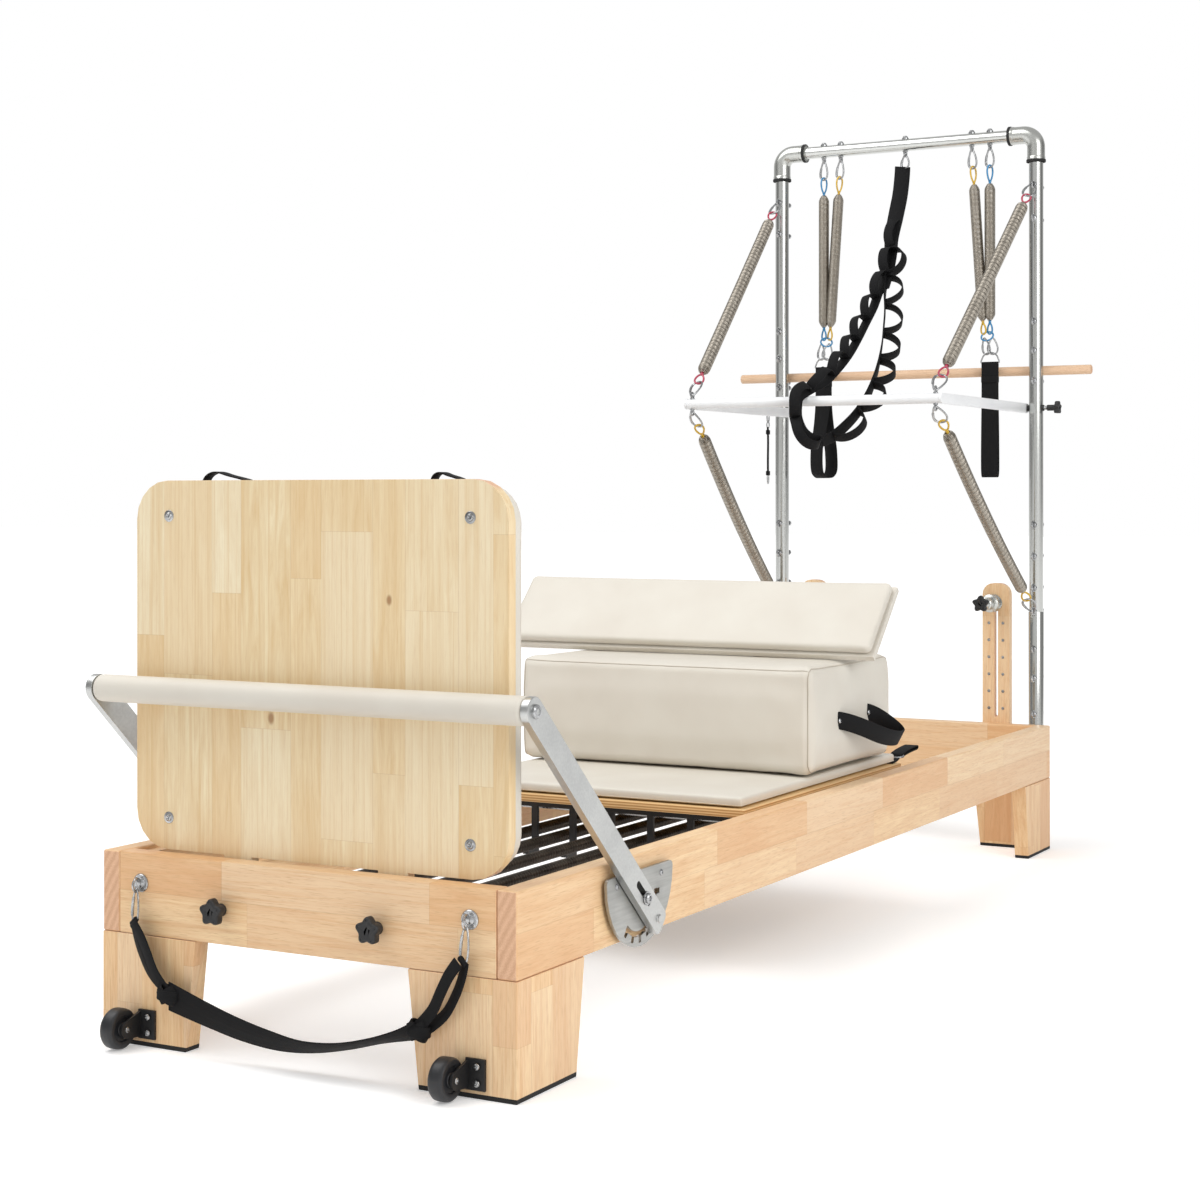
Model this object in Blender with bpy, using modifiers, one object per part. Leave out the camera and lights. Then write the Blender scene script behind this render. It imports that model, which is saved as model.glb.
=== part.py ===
# Pilates reformer with a half tower, built as separate working pieces.
# Lengths are metres, up is plus Z, and plus X runs along the rails toward the tower.
# The pieces are set out from the front face of the foot rail, then moved so that
# the middle of the whole machine stands over the origin.

import math

import bmesh
import bpy
from mathutils import Matrix, Vector

# General fits
FIT_GAP = 0.0003
WOOD_EDGE = 0.002
SINK = 0.002

# Frame
FRAME_LENGTH = 2.400
FRAME_WIDTH = 0.725
LEG_HEIGHT = 0.165
RAIL_HEIGHT = 0.121
RAIL_THICK = 0.032
LEG_TOP_LENGTH = 0.187
LEG_FOOT_LENGTH = 0.163
LEG_TOP_WIDTH = 0.176
LEG_FOOT_WIDTH = 0.158
RAIL_BOTTOM = LEG_HEIGHT
RAIL_TOP = LEG_HEIGHT + RAIL_HEIGHT
HALF_WIDTH = FRAME_WIDTH / 2
INNER_HALF = HALF_WIDTH - RAIL_THICK
CROSS_HALF = INNER_HALF - FIT_GAP

# Track ledges and side battens on the inner faces of the side rails
LEDGE_REACH = 0.045
LEDGE_RISE = 0.050
LEDGE_THICK = 0.018
LEDGE_END_GAP = 0.040
BATTEN_REACH = 0.020
BATTEN_DROP = 0.007
BATTEN_LENGTH = 1.794
LEDGE_TOP = RAIL_BOTTOM + LEDGE_RISE + LEDGE_THICK
BATTEN_TOP = RAIL_TOP - BATTEN_DROP

# Carriage
CARRIAGE_FRONT = 0.8415
CARRIAGE_LENGTH = 0.7425
DECK_SIDE_GAP = 0.0245
DECK_THICK = 0.014
PAD_INSET = 0.005
PAD_THICK = 0.0225
AXLE_TO_DECK = 0.0194
CARRIAGE_WHEEL_RADIUS = 0.017
CARRIAGE_WHEEL_WIDTH = 0.016
CARRIAGE_WHEEL_GAP = 0.0065
AXLE_RADIUS = 0.004
AXLE_CLEARANCE = 0.0004
AXLE_INSET = 0.086
RUNNER_INSET = 0.026
RUNNER_THICK = 0.004
RUNNER_DEEP = 0.0400
COMB_INSET = 0.0205
COMB_THICK = 0.008
COMB_DROP = 0.0917
COMB_TOOTH = 0.012
COMB_FOOT = 0.030
SPRING_PITCH = 0.078
SPRING_COUNT = 5
SPRING_DROP = 0.0647
SPRING_RADIUS = 0.0105
SPRING_WIRE = 0.0025
SPRING_BAR_X = 0.141
SPRING_BAR_THICK = 0.010
SPRING_TAIL_INSET = 0.212
SPRING_BUTTON = 0.014
SPRING_NECK = 0.060
SPRING_CONE = 0.025
SPRING_TAIL = 0.035
TAIL_RADIUS = 0.0045
AXLE_HEIGHT = LEDGE_TOP + FIT_GAP + CARRIAGE_WHEEL_RADIUS
DECK_BOTTOM = AXLE_HEIGHT + AXLE_TO_DECK
DECK_TOP = DECK_BOTTOM + DECK_THICK
DECK_HALF = INNER_HALF - DECK_SIDE_GAP
CARRIAGE_REAR = CARRIAGE_FRONT + CARRIAGE_LENGTH
PAD_TOP = DECK_TOP + FIT_GAP + PAD_THICK
WHEEL_OUTER = INNER_HALF - BATTEN_REACH - CARRIAGE_WHEEL_GAP
WHEEL_INNER = WHEEL_OUTER - CARRIAGE_WHEEL_WIDTH
RUNNER_HALF = WHEEL_INNER - RUNNER_INSET + CARRIAGE_WHEEL_WIDTH / 2
COMB_X = CARRIAGE_FRONT + COMB_INSET
SPRING_HEIGHT = DECK_BOTTOM - SPRING_DROP
SPRING_TAIL_X = CARRIAGE_REAR - SPRING_TAIL_INSET

# Foot end: clamp knobs, eye plates, jump board and its keeper
KNOB_SPREAD = 0.137
KNOB_RISE = 0.051
KNOB_RADIUS = 0.0188
KNOB_LOBE = 0.0024
KNOB_THICK = 0.016
KNOB_NECK = 0.013
STUD_RADIUS = 0.004
STUD_CLEARANCE = 0.0004
EYE_INSET = 0.042
EYE_RISE = 0.077
BOARD_GAP = 0.0045
BOARD_THICK = 0.018
BOARD_SIDE_GAP = 0.0025
BOARD_LIFT = 0.0025
BOARD_HEIGHT = 0.5515
BOARD_CORNER = 0.058
BOARD_PAD = 0.022
BOARD_PAD_INSET = 0.002
BOARD_BOLT_INSET = 0.062
BOARD_BOLT_PROUD = 0.0006
STUD_GAP = 0.0010
BOARD_BOLT_LOW = 0.0475
BOARD_BOLT_HIGH = 0.053
TONGUE_WIDTH = 0.050
TONGUE_BELOW_KNOB = 0.026
KEEPER_THICK = 0.004
KEEPER_HALF = 0.195
KEEPER_HEIGHT = 0.034
KNOB_HEIGHT = RAIL_BOTTOM + KNOB_RISE
EYE_HEIGHT = RAIL_BOTTOM + EYE_RISE
EYE_SPREAD = INNER_HALF - EYE_INSET

# Carry strap: how far out and how high each point is, as shares of the eyes' place
STRAP_SHARES = (
    (1.0000, 0.7686), (0.9359, 0.5992), (0.8492, 0.4463), (0.7279, 0.3554), (0.5026, 0.2645),
    (0.2426, 0.1880), (0.0000, 0.1653),
)
STRAP_X = -0.0210
STRAP_WIDTH = 0.030
STRAP_THICK = 0.0035
KNOT_SHARE = 0.7591
KNOT_HALF = 0.017
KNOT_LOW_SHARE = 0.3264
KNOT_HIGH_SHARE = 0.4256
STRAP_HOOK_SHARE = 0.7438
BOARD_FRONT = RAIL_THICK + BOARD_GAP
BOARD_BACK = BOARD_FRONT + BOARD_THICK
BOARD_HALF = INNER_HALF - BOARD_SIDE_GAP
BOARD_LOW = RAIL_TOP + BOARD_LIFT
BOARD_TOP = BOARD_LOW + BOARD_HEIGHT

# Transport wheels on the two foot legs
WHEEL_RADIUS = 0.030
WHEEL_WIDTH = 0.024
WHEEL_LEG_GAP = 0.0025
WHEEL_FLOOR_GAP = 0.001
WHEEL_INSETS = (0.0585, 0.0925)
WHEEL_PIN_RADIUS = 0.004
WHEEL_PIN_CLEARANCE = 0.0004
BRACKET_THICK = 0.004
BRACKET_GAP = 0.0025
BRACKET_FLANGE = 0.026
BRACKET_HEIGHT = 0.043
WHEEL_X = -WHEEL_RADIUS - WHEEL_LEG_GAP
WHEEL_Z = WHEEL_RADIUS + WHEEL_FLOOR_GAP

# Footbar: the arms turn on a bolt and drop so that a pin locks in a notched slot
PIVOT_X = 0.330
PIVOT_RISE = 0.061
BAR_LENGTH = 0.4414
BAR_BOARD_GAP = 0.0080
ROLLER_RADIUS = 0.0205
ARM_THICK = 0.012
ARM_HALF = 0.0205
ARM_CORNER = 0.010
ARM_PLATE_GAP = 0.001
ARM_TAIL = 0.0185
ARM_SLOT_ABOVE = 0.034
ARM_SLOT_BELOW = 0.010
PLATE_STANDOFF = 0.006
PLATE_THICK = 0.005
PLATE_RADIUS = 0.104
PLATE_FORWARD = 0.006
PLATE_RISE = 0.031
PLATE_LAND = 0.0085
PIVOT_RADIUS = 0.005
PIVOT_CLEARANCE = 0.0003
PIN_RADIUS = 0.0032
PIN_CLEARANCE = 0.0008
PIN_REACH = 0.0535
PIN_DROP = 0.0095
NOTCH_STEP = 21.65
NOTCHES_UP = 2
NOTCHES_DOWN = 4
SLOT_END = 5.0
BOSS_RADIUS = 0.0065
PIVOT_Z = RAIL_BOTTOM + PIVOT_RISE
ROLLER_X = BOARD_FRONT - BAR_BOARD_GAP - ROLLER_RADIUS
ROLLER_Z = PIVOT_Z + math.sqrt(BAR_LENGTH ** 2 - (PIVOT_X - ROLLER_X) ** 2)
PLATE_INNER = HALF_WIDTH + PLATE_STANDOFF
PLATE_OUTER = PLATE_INNER + PLATE_THICK
ARM_INNER = PLATE_OUTER + ARM_PLATE_GAP
ARM_OUTER = ARM_INNER + ARM_THICK

# Loose box and the sloping pad on its stand
BOX_SETBACK = 0.2815
BOX_LENGTH = 0.406
BOX_HALF = 0.295
BOX_HEIGHT = 0.201
HANDLE_FRONT = 0.127
HANDLE_SPAN = 0.150
HANDLE_RISE = 0.105
SLOPE_SETBACK = 0.182
SLOPE_LENGTH = 0.178
SLOPE_LEFT = 0.4465
SLOPE_RIGHT = -0.360
SLOPE_BOARD = 0.012
SLOPE_PAD = 0.022
SLOPE_DEGREES = 45.0
BOX_X = CARRIAGE_FRONT + BOX_SETBACK
BOX_LOW = PAD_TOP + FIT_GAP
BOX_TOP = BOX_LOW + BOX_HEIGHT
SLOPE_X = BOX_X + SLOPE_SETBACK

# Tower
POST_INSET = 0.007
POST_RADIUS = 0.0165
POST_FLOOR_GAP = 0.030
POST_SIDES = 16
SLEEVE_RADIUS = 0.0178
SLEEVE_TOP = 0.548
TOP_BAR_Z = 1.664
TOP_BAR_RADIUS = 0.0145
ELBOW_RADIUS = 0.0212
ELBOW_BEND = 0.030
ELBOW_DROP = 0.066
ELBOW_REACH = 0.0655
ELBOW_LIP = 0.0018
SOCKET_DEEP = 0.030
UPPER_EYE_DROP = 0.120
SECOND_EYE_DROP = 0.197
LOWER_POST_EYES = (1.226, 1.158, 1.088, 0.751, 0.678, 0.604, 0.550, 0.462, 0.394, 0.310)
POST_EYES = (TOP_BAR_Z - UPPER_EYE_DROP, TOP_BAR_Z - SECOND_EYE_DROP) + LOWER_POST_EYES
UPPER_SPRING_EYE = 0
LOWER_SPRING_EYE = 8
OUTER_EYE = 0.2115
INNER_EYE = 0.167
EYE_SUNK = 0.0015
EYE_RING = 0.0068
EYE_WIRE = 0.0020
EYE_SIDES = 6
HOOK_WIRE = 0.0018
HOOK_GAP = 0.0004
SADDLE_HEIGHTS = (0.195, 0.258)
SADDLE_HALF = 0.011
SADDLE_WING = 0.036
POST_X = FRAME_LENGTH + SLEEVE_RADIUS + FIT_GAP
POST_SPREAD = INNER_HALF - POST_INSET
ELBOW_LOW = TOP_BAR_Z - ELBOW_DROP
ELBOW_SIDE = POST_SPREAD - ELBOW_REACH
EYE_HOLE = EYE_RING * math.cos(math.pi / EYE_SIDES) - EYE_WIRE
EYE_OUT = EYE_RING * math.cos(math.pi / EYE_SIDES) + EYE_WIRE - EYE_SUNK
HOOK_OFFSET = EYE_HOLE - HOOK_WIRE - HOOK_GAP
BAR_EYE_Z = TOP_BAR_Z - TOP_BAR_RADIUS - EYE_OUT

# Push bar and the springs, loops and straps of the tower
PUSH_LENGTH = 0.578
PUSH_Z = 1.024
PUSH_TUBE_RADIUS = 0.0110
PUSH_POST_GAP = 0.0037
PUSH_ARM_THICK = 0.006
PUSH_ARM_DEEP = 0.0115
PUSH_PIN_RADIUS = 0.005
PUSH_PIN_CLEARANCE = 0.0004
PUSH_PIN_TAIL = 0.010
PUSH_EYE_INSET = 0.010
COIL_RADIUS = 0.0120
PUSH_TURNS = 5
HANGING_TURNS = 4
COIL_POINTS = 8
COIL_LEAD = 0.050
LOOP_WIDTH = 0.042
LOOP_LENGTH = 0.270
LOOP_BAND = 0.0035
LOOP_OPEN = 0.0100
LOOP_SPREAD = 0.2120
CHAIN_Z = 1.190
RING_WIRE = 0.0021
LOOP_BAR_Z = CHAIN_Z - 0.0600
SAFETY_GAP = 0.024
PUSH_X = POST_X - PUSH_LENGTH
PUSH_HALF = POST_SPREAD - SLEEVE_RADIUS - PUSH_POST_GAP
PUSH_TIP = POST_SPREAD + POST_RADIUS + PUSH_PIN_TAIL
LADDER_DROP = BAR_EYE_Z - PUSH_Z

# Stepped strap: share of the way out to the push bar, sideways place, share of the way up to the eye
LADDER_TRUNK = (
    (0.0659, 0.000, 0.8658), (0.2216, 0.000, 0.6800), (0.3773, 0.000, 0.5023),
    (0.5157, 0.000, 0.3618),
)
LADDER_FRONT = (
    (0.4898, 0.000, 0.3844), (0.6196, 0.026, 0.2681), (0.7926, 0.050, 0.1486),
    (0.9483, 0.066, 0.0872), (1.0590, 0.076, 0.0258), (1.0832, 0.074, -0.0630),
    (1.0382, 0.062, -0.1325), (0.9794, 0.044, -0.1583),
)
LADDER_BACK = (
    (0.4898, 0.000, 0.3844), (0.5849, -0.018, 0.2520), (0.7147, -0.030, 0.1228),
    (0.8306, -0.030, 0.0097), (0.9050, -0.012, -0.0840), (0.9517, 0.014, -0.1421),
    (1.0071, 0.040, -0.1583),
)

# Risers with their pulleys, behind the head rail
RISER_SPREAD = 0.232
RISER_HALF = 0.033
RISER_THICK = 0.020
RISER_LOW = 0.190
RISER_TOP = 0.6135
RISER_CORNER = 0.026
RISER_SLOT_LOW = 0.300
RISER_SLOT_HALF = 0.0046
HUB_Z = 0.568
HUB_RADIUS = 0.021
HUB_BOLT_RADIUS = 0.004
HUB_REACH = 0.100
RISER_KNOB_RADIUS = 0.0182

# Dowel laid on two hooks behind the posts
DOWEL_RADIUS = 0.011
DOWEL_HALF = 0.4465
DOWEL_POST_GAP = 0.0015
DOWEL_HOOK_Z = 1.0983
DOWEL_HOOK_WIRE = 0.003
DOWEL_X = POST_X + POST_RADIUS + DOWEL_POST_GAP + DOWEL_RADIUS
DOWEL_Z = DOWEL_HOOK_Z + DOWEL_HOOK_WIRE + FIT_GAP + DOWEL_RADIUS
DOWEL_HOOK_REACH = DOWEL_RADIUS + DOWEL_POST_GAP + DOWEL_HOOK_WIRE

# The machine is moved back by half of its whole length
CENTRE_X = (WHEEL_X - WHEEL_RADIUS + DOWEL_X + DOWEL_HOOK_REACH + DOWEL_HOOK_WIRE) / 2

# Looks: colour as red, green and blue fractions, then roughness, then metallic
WOOD = ((0.80, 0.57, 0.35), 0.45, 0.0)
PALE_WOOD = ((0.78, 0.64, 0.41), 0.45, 0.0)
PLY = ((0.70, 0.47, 0.22), 0.50, 0.0)
LEATHER = ((0.80, 0.77, 0.71), 0.55, 0.0)
ALLOY = ((0.60, 0.61, 0.60), 0.35, 0.9)
STEEL = ((0.55, 0.55, 0.53), 0.22, 1.0)
SPRING_STEEL = ((0.30, 0.27, 0.24), 0.35, 0.9)
BLACK_STEEL = ((0.02, 0.02, 0.02), 0.45, 0.3)
BLACK_PLASTIC = ((0.015, 0.015, 0.015), 0.50, 0.0)
WEBBING = ((0.008, 0.008, 0.008), 0.85, 0.0)
WHITE_ALLOY = ((0.82, 0.83, 0.84), 0.35, 0.4)


def clear_file():
    for thing in list(bpy.data.objects):
        bpy.data.objects.remove(thing, do_unlink=True)
    for group in list(bpy.data.collections):
        bpy.data.collections.remove(group)


def new_collection(name):
    group = bpy.data.collections.new(name)
    bpy.context.scene.collection.children.link(group)
    return group


def link_mesh(bm, name):
    mesh = bpy.data.meshes.new(name)
    bm.normal_update()
    bm.to_mesh(mesh)
    bm.free()
    thing = bpy.data.objects.new(name, mesh)
    PIECES.objects.link(thing)
    return thing


def bake(thing, weld=0.0):
    # Turns a curve, or a mesh with modifiers, into one plain mesh object.
    bpy.context.view_layer.update()
    graph = bpy.context.evaluated_depsgraph_get()
    mesh = bpy.data.meshes.new_from_object(thing.evaluated_get(graph), depsgraph=graph)
    mesh.transform(thing.matrix_world)
    name = thing.name
    bpy.data.objects.remove(thing, do_unlink=True)
    bm = bmesh.new()
    bm.from_mesh(mesh)
    bpy.data.meshes.remove(mesh)
    if weld > 0.0:
        bmesh.ops.remove_doubles(bm, verts=bm.verts, dist=weld)
    bmesh.ops.recalc_face_normals(bm, faces=bm.faces)
    return link_mesh(bm, name)


def soften(thing, width, segments=1, angle=40.0):
    if width <= 0.0:
        return thing
    edge = thing.modifiers.new("soft_edge", "BEVEL")
    edge.width = width
    edge.segments = segments
    edge.limit_method = "ANGLE"
    edge.angle_limit = math.radians(angle)
    return bake(thing)


def block(x0, x1, y0, y1, z0, z1, edge=0.0, segments=1):
    bm = bmesh.new()
    bmesh.ops.create_cube(bm, size=1.0)
    size = Vector((abs(x1 - x0), abs(y1 - y0), abs(z1 - z0)))
    middle = Vector(((x0 + x1) / 2, (y0 + y1) / 2, (z0 + z1) / 2))
    bmesh.ops.scale(bm, vec=size, verts=bm.verts)
    bmesh.ops.translate(bm, vec=middle, verts=bm.verts)
    return soften(link_mesh(bm, "block"), edge, segments)


def cushion(size, corner, crown, draw):
    # An upholstered slab: its top is crowned and its sides pull in between the corners.
    bm = bmesh.new()
    bmesh.ops.create_cube(bm, size=2.0)
    bmesh.ops.subdivide_edges(bm, edges=bm.edges, cuts=2, use_grid_fill=True)
    half = Vector(size) / 2
    for vert in bm.verts:
        u, v, w = vert.co
        full_u = 1.0 - u * u
        full_v = 1.0 - v * v
        vert.co.x = u * (half.x - draw * full_v)
        vert.co.y = v * (half.y - draw * full_u)
        vert.co.z = w * half.z
        if w > 0.9:
            vert.co.z += crown * (full_u * full_v - 1.0)
    return soften(link_mesh(bm, "cushion"), corner, 2, 50.0)


def aim(start, end):
    # A matrix that lays the Z axis of a piece along start to end.
    start = Vector(start)
    end = Vector(end)
    turn = (end - start).to_track_quat("Z", "X").to_matrix().to_4x4()
    return Matrix.Translation((start + end) / 2) @ turn


def rod(start, end, radius, sides=10, end_radius=None):
    bm = bmesh.new()
    length = (Vector(end) - Vector(start)).length
    second = radius if end_radius is None else end_radius
    bmesh.ops.create_cone(
        bm, cap_ends=True, segments=sides, radius1=radius, radius2=second, depth=length
    )
    bmesh.ops.transform(bm, matrix=aim(start, end), verts=bm.verts)
    return link_mesh(bm, "rod")


def bore(start, end, radius, sides=12):
    # A cutter whose flats, not its corners, stand at the radius.
    return rod(start, end, radius / math.cos(math.pi / sides), sides)


def turned(profile, start, direction, sides):
    # Turns (radius, distance) pairs about a line that leaves start in the direction.
    bm = bmesh.new()
    direction = Vector(direction).normalized()
    points = [bm.verts.new((radius, 0.0, distance)) for radius, distance in reversed(profile)]
    for first, second in zip(points, points[1:]):
        bm.edges.new((first, second))
    thing = link_mesh(bm, "turned")
    screw = thing.modifiers.new("turn", "SCREW")
    screw.axis = "Z"
    screw.angle = 2 * math.pi
    screw.steps = sides
    screw.render_steps = sides
    screw.use_merge_vertices = True
    screw.merge_threshold = 0.00001
    turn = direction.to_track_quat("Z", "X").to_matrix().to_4x4()
    thing.matrix_world = Matrix.Translation(Vector(start)) @ turn
    return bake(thing, 0.000005)


def plate(outline, thick, plane, low, holes=()):
    # A flat outline with holes, given its thickness. The plane names its two axes.
    flat = bpy.data.curves.new("plate", "CURVE")
    flat.dimensions = "2D"
    flat.fill_mode = "BOTH"
    flat.extrude = thick / 2
    for ring in (outline,) + tuple(holes):
        spline = flat.splines.new("POLY")
        spline.points.add(len(ring) - 1)
        for point, (a, b) in zip(spline.points, ring):
            point.co = (a, b, 0.0, 1.0)
        spline.use_cyclic_u = True
    thing = bpy.data.objects.new("plate", flat)
    PIECES.objects.link(thing)
    middle = low + thick / 2
    if plane == "YZ":
        thing.matrix_world = Matrix(((0, 0, 1, middle), (1, 0, 0, 0), (0, 1, 0, 0), (0, 0, 0, 1)))
    elif plane == "XZ":
        thing.matrix_world = Matrix(((1, 0, 0, 0), (0, 0, -1, middle), (0, 1, 0, 0), (0, 0, 0, 1)))
    else:
        thing.matrix_world = Matrix.Translation((0, 0, middle))
    return bake(thing, 0.000002)


def arc(cx, cy, radius, first, last, count):
    points = []
    for step in range(count + 1):
        angle = math.radians(first + (last - first) * step / count)
        points.append((cx + radius * math.cos(angle), cy + radius * math.sin(angle)))
    return points


def rounded_rectangle(a0, a1, b0, b1, radius, count=5):
    points = arc(a1 - radius, b1 - radius, radius, 0, 90, count)
    points += arc(a0 + radius, b1 - radius, radius, 90, 180, count)
    points += arc(a0 + radius, b0 + radius, radius, 180, 270, count)
    points += arc(a1 - radius, b0 + radius, radius, 270, 360, count)
    return points


def round_hole(cx, cy, radius, sides=12):
    return arc(cx, cy, radius / math.cos(math.pi / sides), 0, 360 * (sides - 1) / sides, sides - 1)


def tube(points, radius, closed=False, level=1):
    # A round bar bent through the points. Ends are capped.
    wire = bpy.data.curves.new("tube", "CURVE")
    wire.dimensions = "3D"
    wire.bevel_depth = radius
    wire.bevel_resolution = level
    wire.use_fill_caps = True
    spline = wire.splines.new("POLY")
    spline.points.add(len(points) - 1)
    for place, point in zip(spline.points, points):
        place.co = (point[0], point[1], point[2], 1.0)
    spline.use_cyclic_u = closed
    thing = bpy.data.objects.new("tube", wire)
    PIECES.objects.link(thing)
    return bake(thing, 0.000005)


def ribbon(points, wide, thick, facing):
    # A flat band along the points: a strip pulled out across its width, then thickened.
    across = Vector(facing).normalized() * wide
    bm = bmesh.new()
    line = [bm.verts.new(Vector(point) - across / 2) for point in points]
    edges = [bm.edges.new(pair) for pair in zip(line, line[1:])]
    pulled = bmesh.ops.extrude_edge_only(bm, edges=edges)["geom"]
    fresh = [item for item in pulled if isinstance(item, bmesh.types.BMVert)]
    bmesh.ops.translate(bm, vec=across, verts=fresh)
    thing = link_mesh(bm, "ribbon")
    shell = thing.modifiers.new("thickness", "SOLIDIFY")
    shell.thickness = thick
    shell.offset = 0.0
    shell.use_even_offset = True
    return bake(thing)


def loop(centre, along, across, half_long, half_wide, wire, count=10):
    # A closed ring of wire, round or drawn out, in the plane of two directions.
    centre = Vector(centre)
    along = Vector(along).normalized()
    across = Vector(across)
    across = (across - along * across.dot(along)).normalized()
    points = []
    for step in range(count):
        angle = 2 * math.pi * (step + 0.5) / count
        points.append(centre + along * (half_long * math.cos(angle)) + across * (half_wide * math.sin(angle)))
    return tube(points, wire, closed=True, level=0)


def combine(pieces, operation="UNION"):
    base = pieces[0]
    for other in pieces[1:]:
        CUTTERS.objects.link(other)
        PIECES.objects.unlink(other)
        other.hide_render = True
        other.display_type = "WIRE"
        step = base.modifiers.new("join", "BOOLEAN")
        step.operation = operation
        step.solver = "EXACT"
        step.object = other
    result = bake(base, 0.000001)
    for other in pieces[1:]:
        bpy.data.objects.remove(other, do_unlink=True)
    return result


def cut(base, cutters):
    return combine([base] + list(cutters), "DIFFERENCE")


def finish(thing, name, look, pivot=(0.0, 0.0, 0.0), crease=38.0):
    # Names the piece, puts its origin on its joint and gives it its own material.
    colour, rough, metal = look
    thing.name = name
    thing.data.name = name
    point = Vector(pivot)
    thing.data.transform(Matrix.Translation(-point))
    thing.location = point - Vector((CENTRE_X, 0.0, 0.0))
    thing.data.shade_smooth()
    thing.data.set_sharp_from_angle(angle=math.radians(crease))
    skin = bpy.data.materials.new(name + "_material")
    skin.use_nodes = True
    shader = skin.node_tree.nodes["Principled BSDF"]
    shader.inputs["Base Color"].default_value = (colour[0], colour[1], colour[2], 1.0)
    shader.inputs["Roughness"].default_value = rough
    shader.inputs["Metallic"].default_value = metal
    thing.data.materials.clear()
    thing.data.materials.append(skin)
    return thing


def side_name(side):
    return "left" if side > 0 else "right"


def spring_lines():
    middle = (SPRING_COUNT - 1) / 2
    return [SPRING_PITCH * (middle - index) for index in range(SPRING_COUNT)]


def build_rails():
    ledge_low = LEDGE_TOP - LEDGE_THICK
    for side in (1, -1):
        rail = block(
            0.0, FRAME_LENGTH, side * INNER_HALF, side * HALF_WIDTH, RAIL_BOTTOM, RAIL_TOP, WOOD_EDGE
        )
        root = side * (INNER_HALF + SINK)
        ledge = block(
            LEDGE_END_GAP, FRAME_LENGTH - LEDGE_END_GAP, side * (INNER_HALF - LEDGE_REACH), root,
            ledge_low, LEDGE_TOP,
        )
        batten = block(
            LEDGE_END_GAP + SINK, LEDGE_END_GAP + BATTEN_LENGTH, side * (INNER_HALF - BATTEN_REACH),
            root * 1.001, ledge_low + SINK, BATTEN_TOP,
        )
        finish(combine([rail, ledge, batten]), "side_rail_" + side_name(side), WOOD)

    foot = block(0.0, RAIL_THICK, -CROSS_HALF, CROSS_HALF, RAIL_BOTTOM, RAIL_TOP, WOOD_EDGE)
    holes = []
    for side in (1, -1):
        y = side * KNOB_SPREAD
        wide = STUD_RADIUS + STUD_CLEARANCE
        holes.append(bore((-SINK, y, KNOB_HEIGHT), (RAIL_THICK + SINK, y, KNOB_HEIGHT), wide))
    pieces = [cut(foot, holes)]
    for side in (1, -1):
        y = side * EYE_SPREAD
        pieces.append(rod((-0.003, y, EYE_HEIGHT), (SINK, y, EYE_HEIGHT), 0.011, 12))
        ring = (-0.0100, y, EYE_HEIGHT - 0.002)
        pieces.append(loop(ring, (1, 0, 0), (0, 0, 1), 0.0085, 0.0085, EYE_WIRE, 6))
    finish(combine(pieces), "foot_rail", WOOD)

    head = block(
        FRAME_LENGTH - RAIL_THICK, FRAME_LENGTH, -CROSS_HALF, CROSS_HALF, RAIL_BOTTOM, RAIL_TOP, WOOD_EDGE
    )
    finish(head, "head_rail", WOOD)


def build_legs():
    top = RAIL_BOTTOM - FIT_GAP
    for end_name, end_x, inward in (("foot", 0.0, 1), ("head", FRAME_LENGTH, -1)):
        for side in (1, -1):
            end_board = plate(
                [
                    (side * HALF_WIDTH, 0.0), (side * (HALF_WIDTH - LEG_FOOT_WIDTH), 0.0),
                    (side * (HALF_WIDTH - LEG_TOP_WIDTH), top), (side * HALF_WIDTH, top),
                ],
                RAIL_THICK, "YZ", end_x if inward > 0 else end_x - RAIL_THICK,
            )
            side_board = plate(
                [
                    (end_x, 0.0), (end_x + inward * LEG_FOOT_LENGTH, 0.0),
                    (end_x + inward * LEG_TOP_LENGTH, top), (end_x, top),
                ],
                RAIL_THICK, "XZ", INNER_HALF if side > 0 else -HALF_WIDTH,
            )
            leg = combine([end_board, side_board])
            finish(leg, "leg_" + end_name + "_" + side_name(side), WOOD)


def lobed_knob(centre, direction, thick, radius, lobe):
    # A five lobed hand knob with its flat face across the direction.
    outline = []
    count = 20
    for step in range(count):
        angle = 2 * math.pi * step / count
        reach = radius + lobe * math.cos(5 * angle)
        outline.append((reach * math.cos(angle), reach * math.sin(angle)))
    disc = soften(plate(outline, thick, "XY", -thick / 2), thick * 0.14, 1, 60.0)
    turn = Vector(direction).to_track_quat("Z", "X").to_matrix().to_4x4()
    disc.data.transform(Matrix.Translation(centre) @ turn)
    return disc


def build_clamp_knobs():
    for side in (1, -1):
        y = side * KNOB_SPREAD
        z = KNOB_HEIGHT
        middle = (-KNOB_NECK - KNOB_THICK / 2, y, z)
        knob = lobed_knob(middle, (1, 0, 0), KNOB_THICK, KNOB_RADIUS, KNOB_LOBE)
        neck = rod((-KNOB_NECK - SINK, y, z), (-FIT_GAP, y, z), 0.0085, 12)
        stud = rod((-KNOB_NECK, y, z), (BOARD_FRONT - STUD_GAP, y, z), STUD_RADIUS, 10)
        finish(combine([knob, neck, stud]), "clamp_knob_" + side_name(side), BLACK_PLASTIC, (0.0, y, z))


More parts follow.
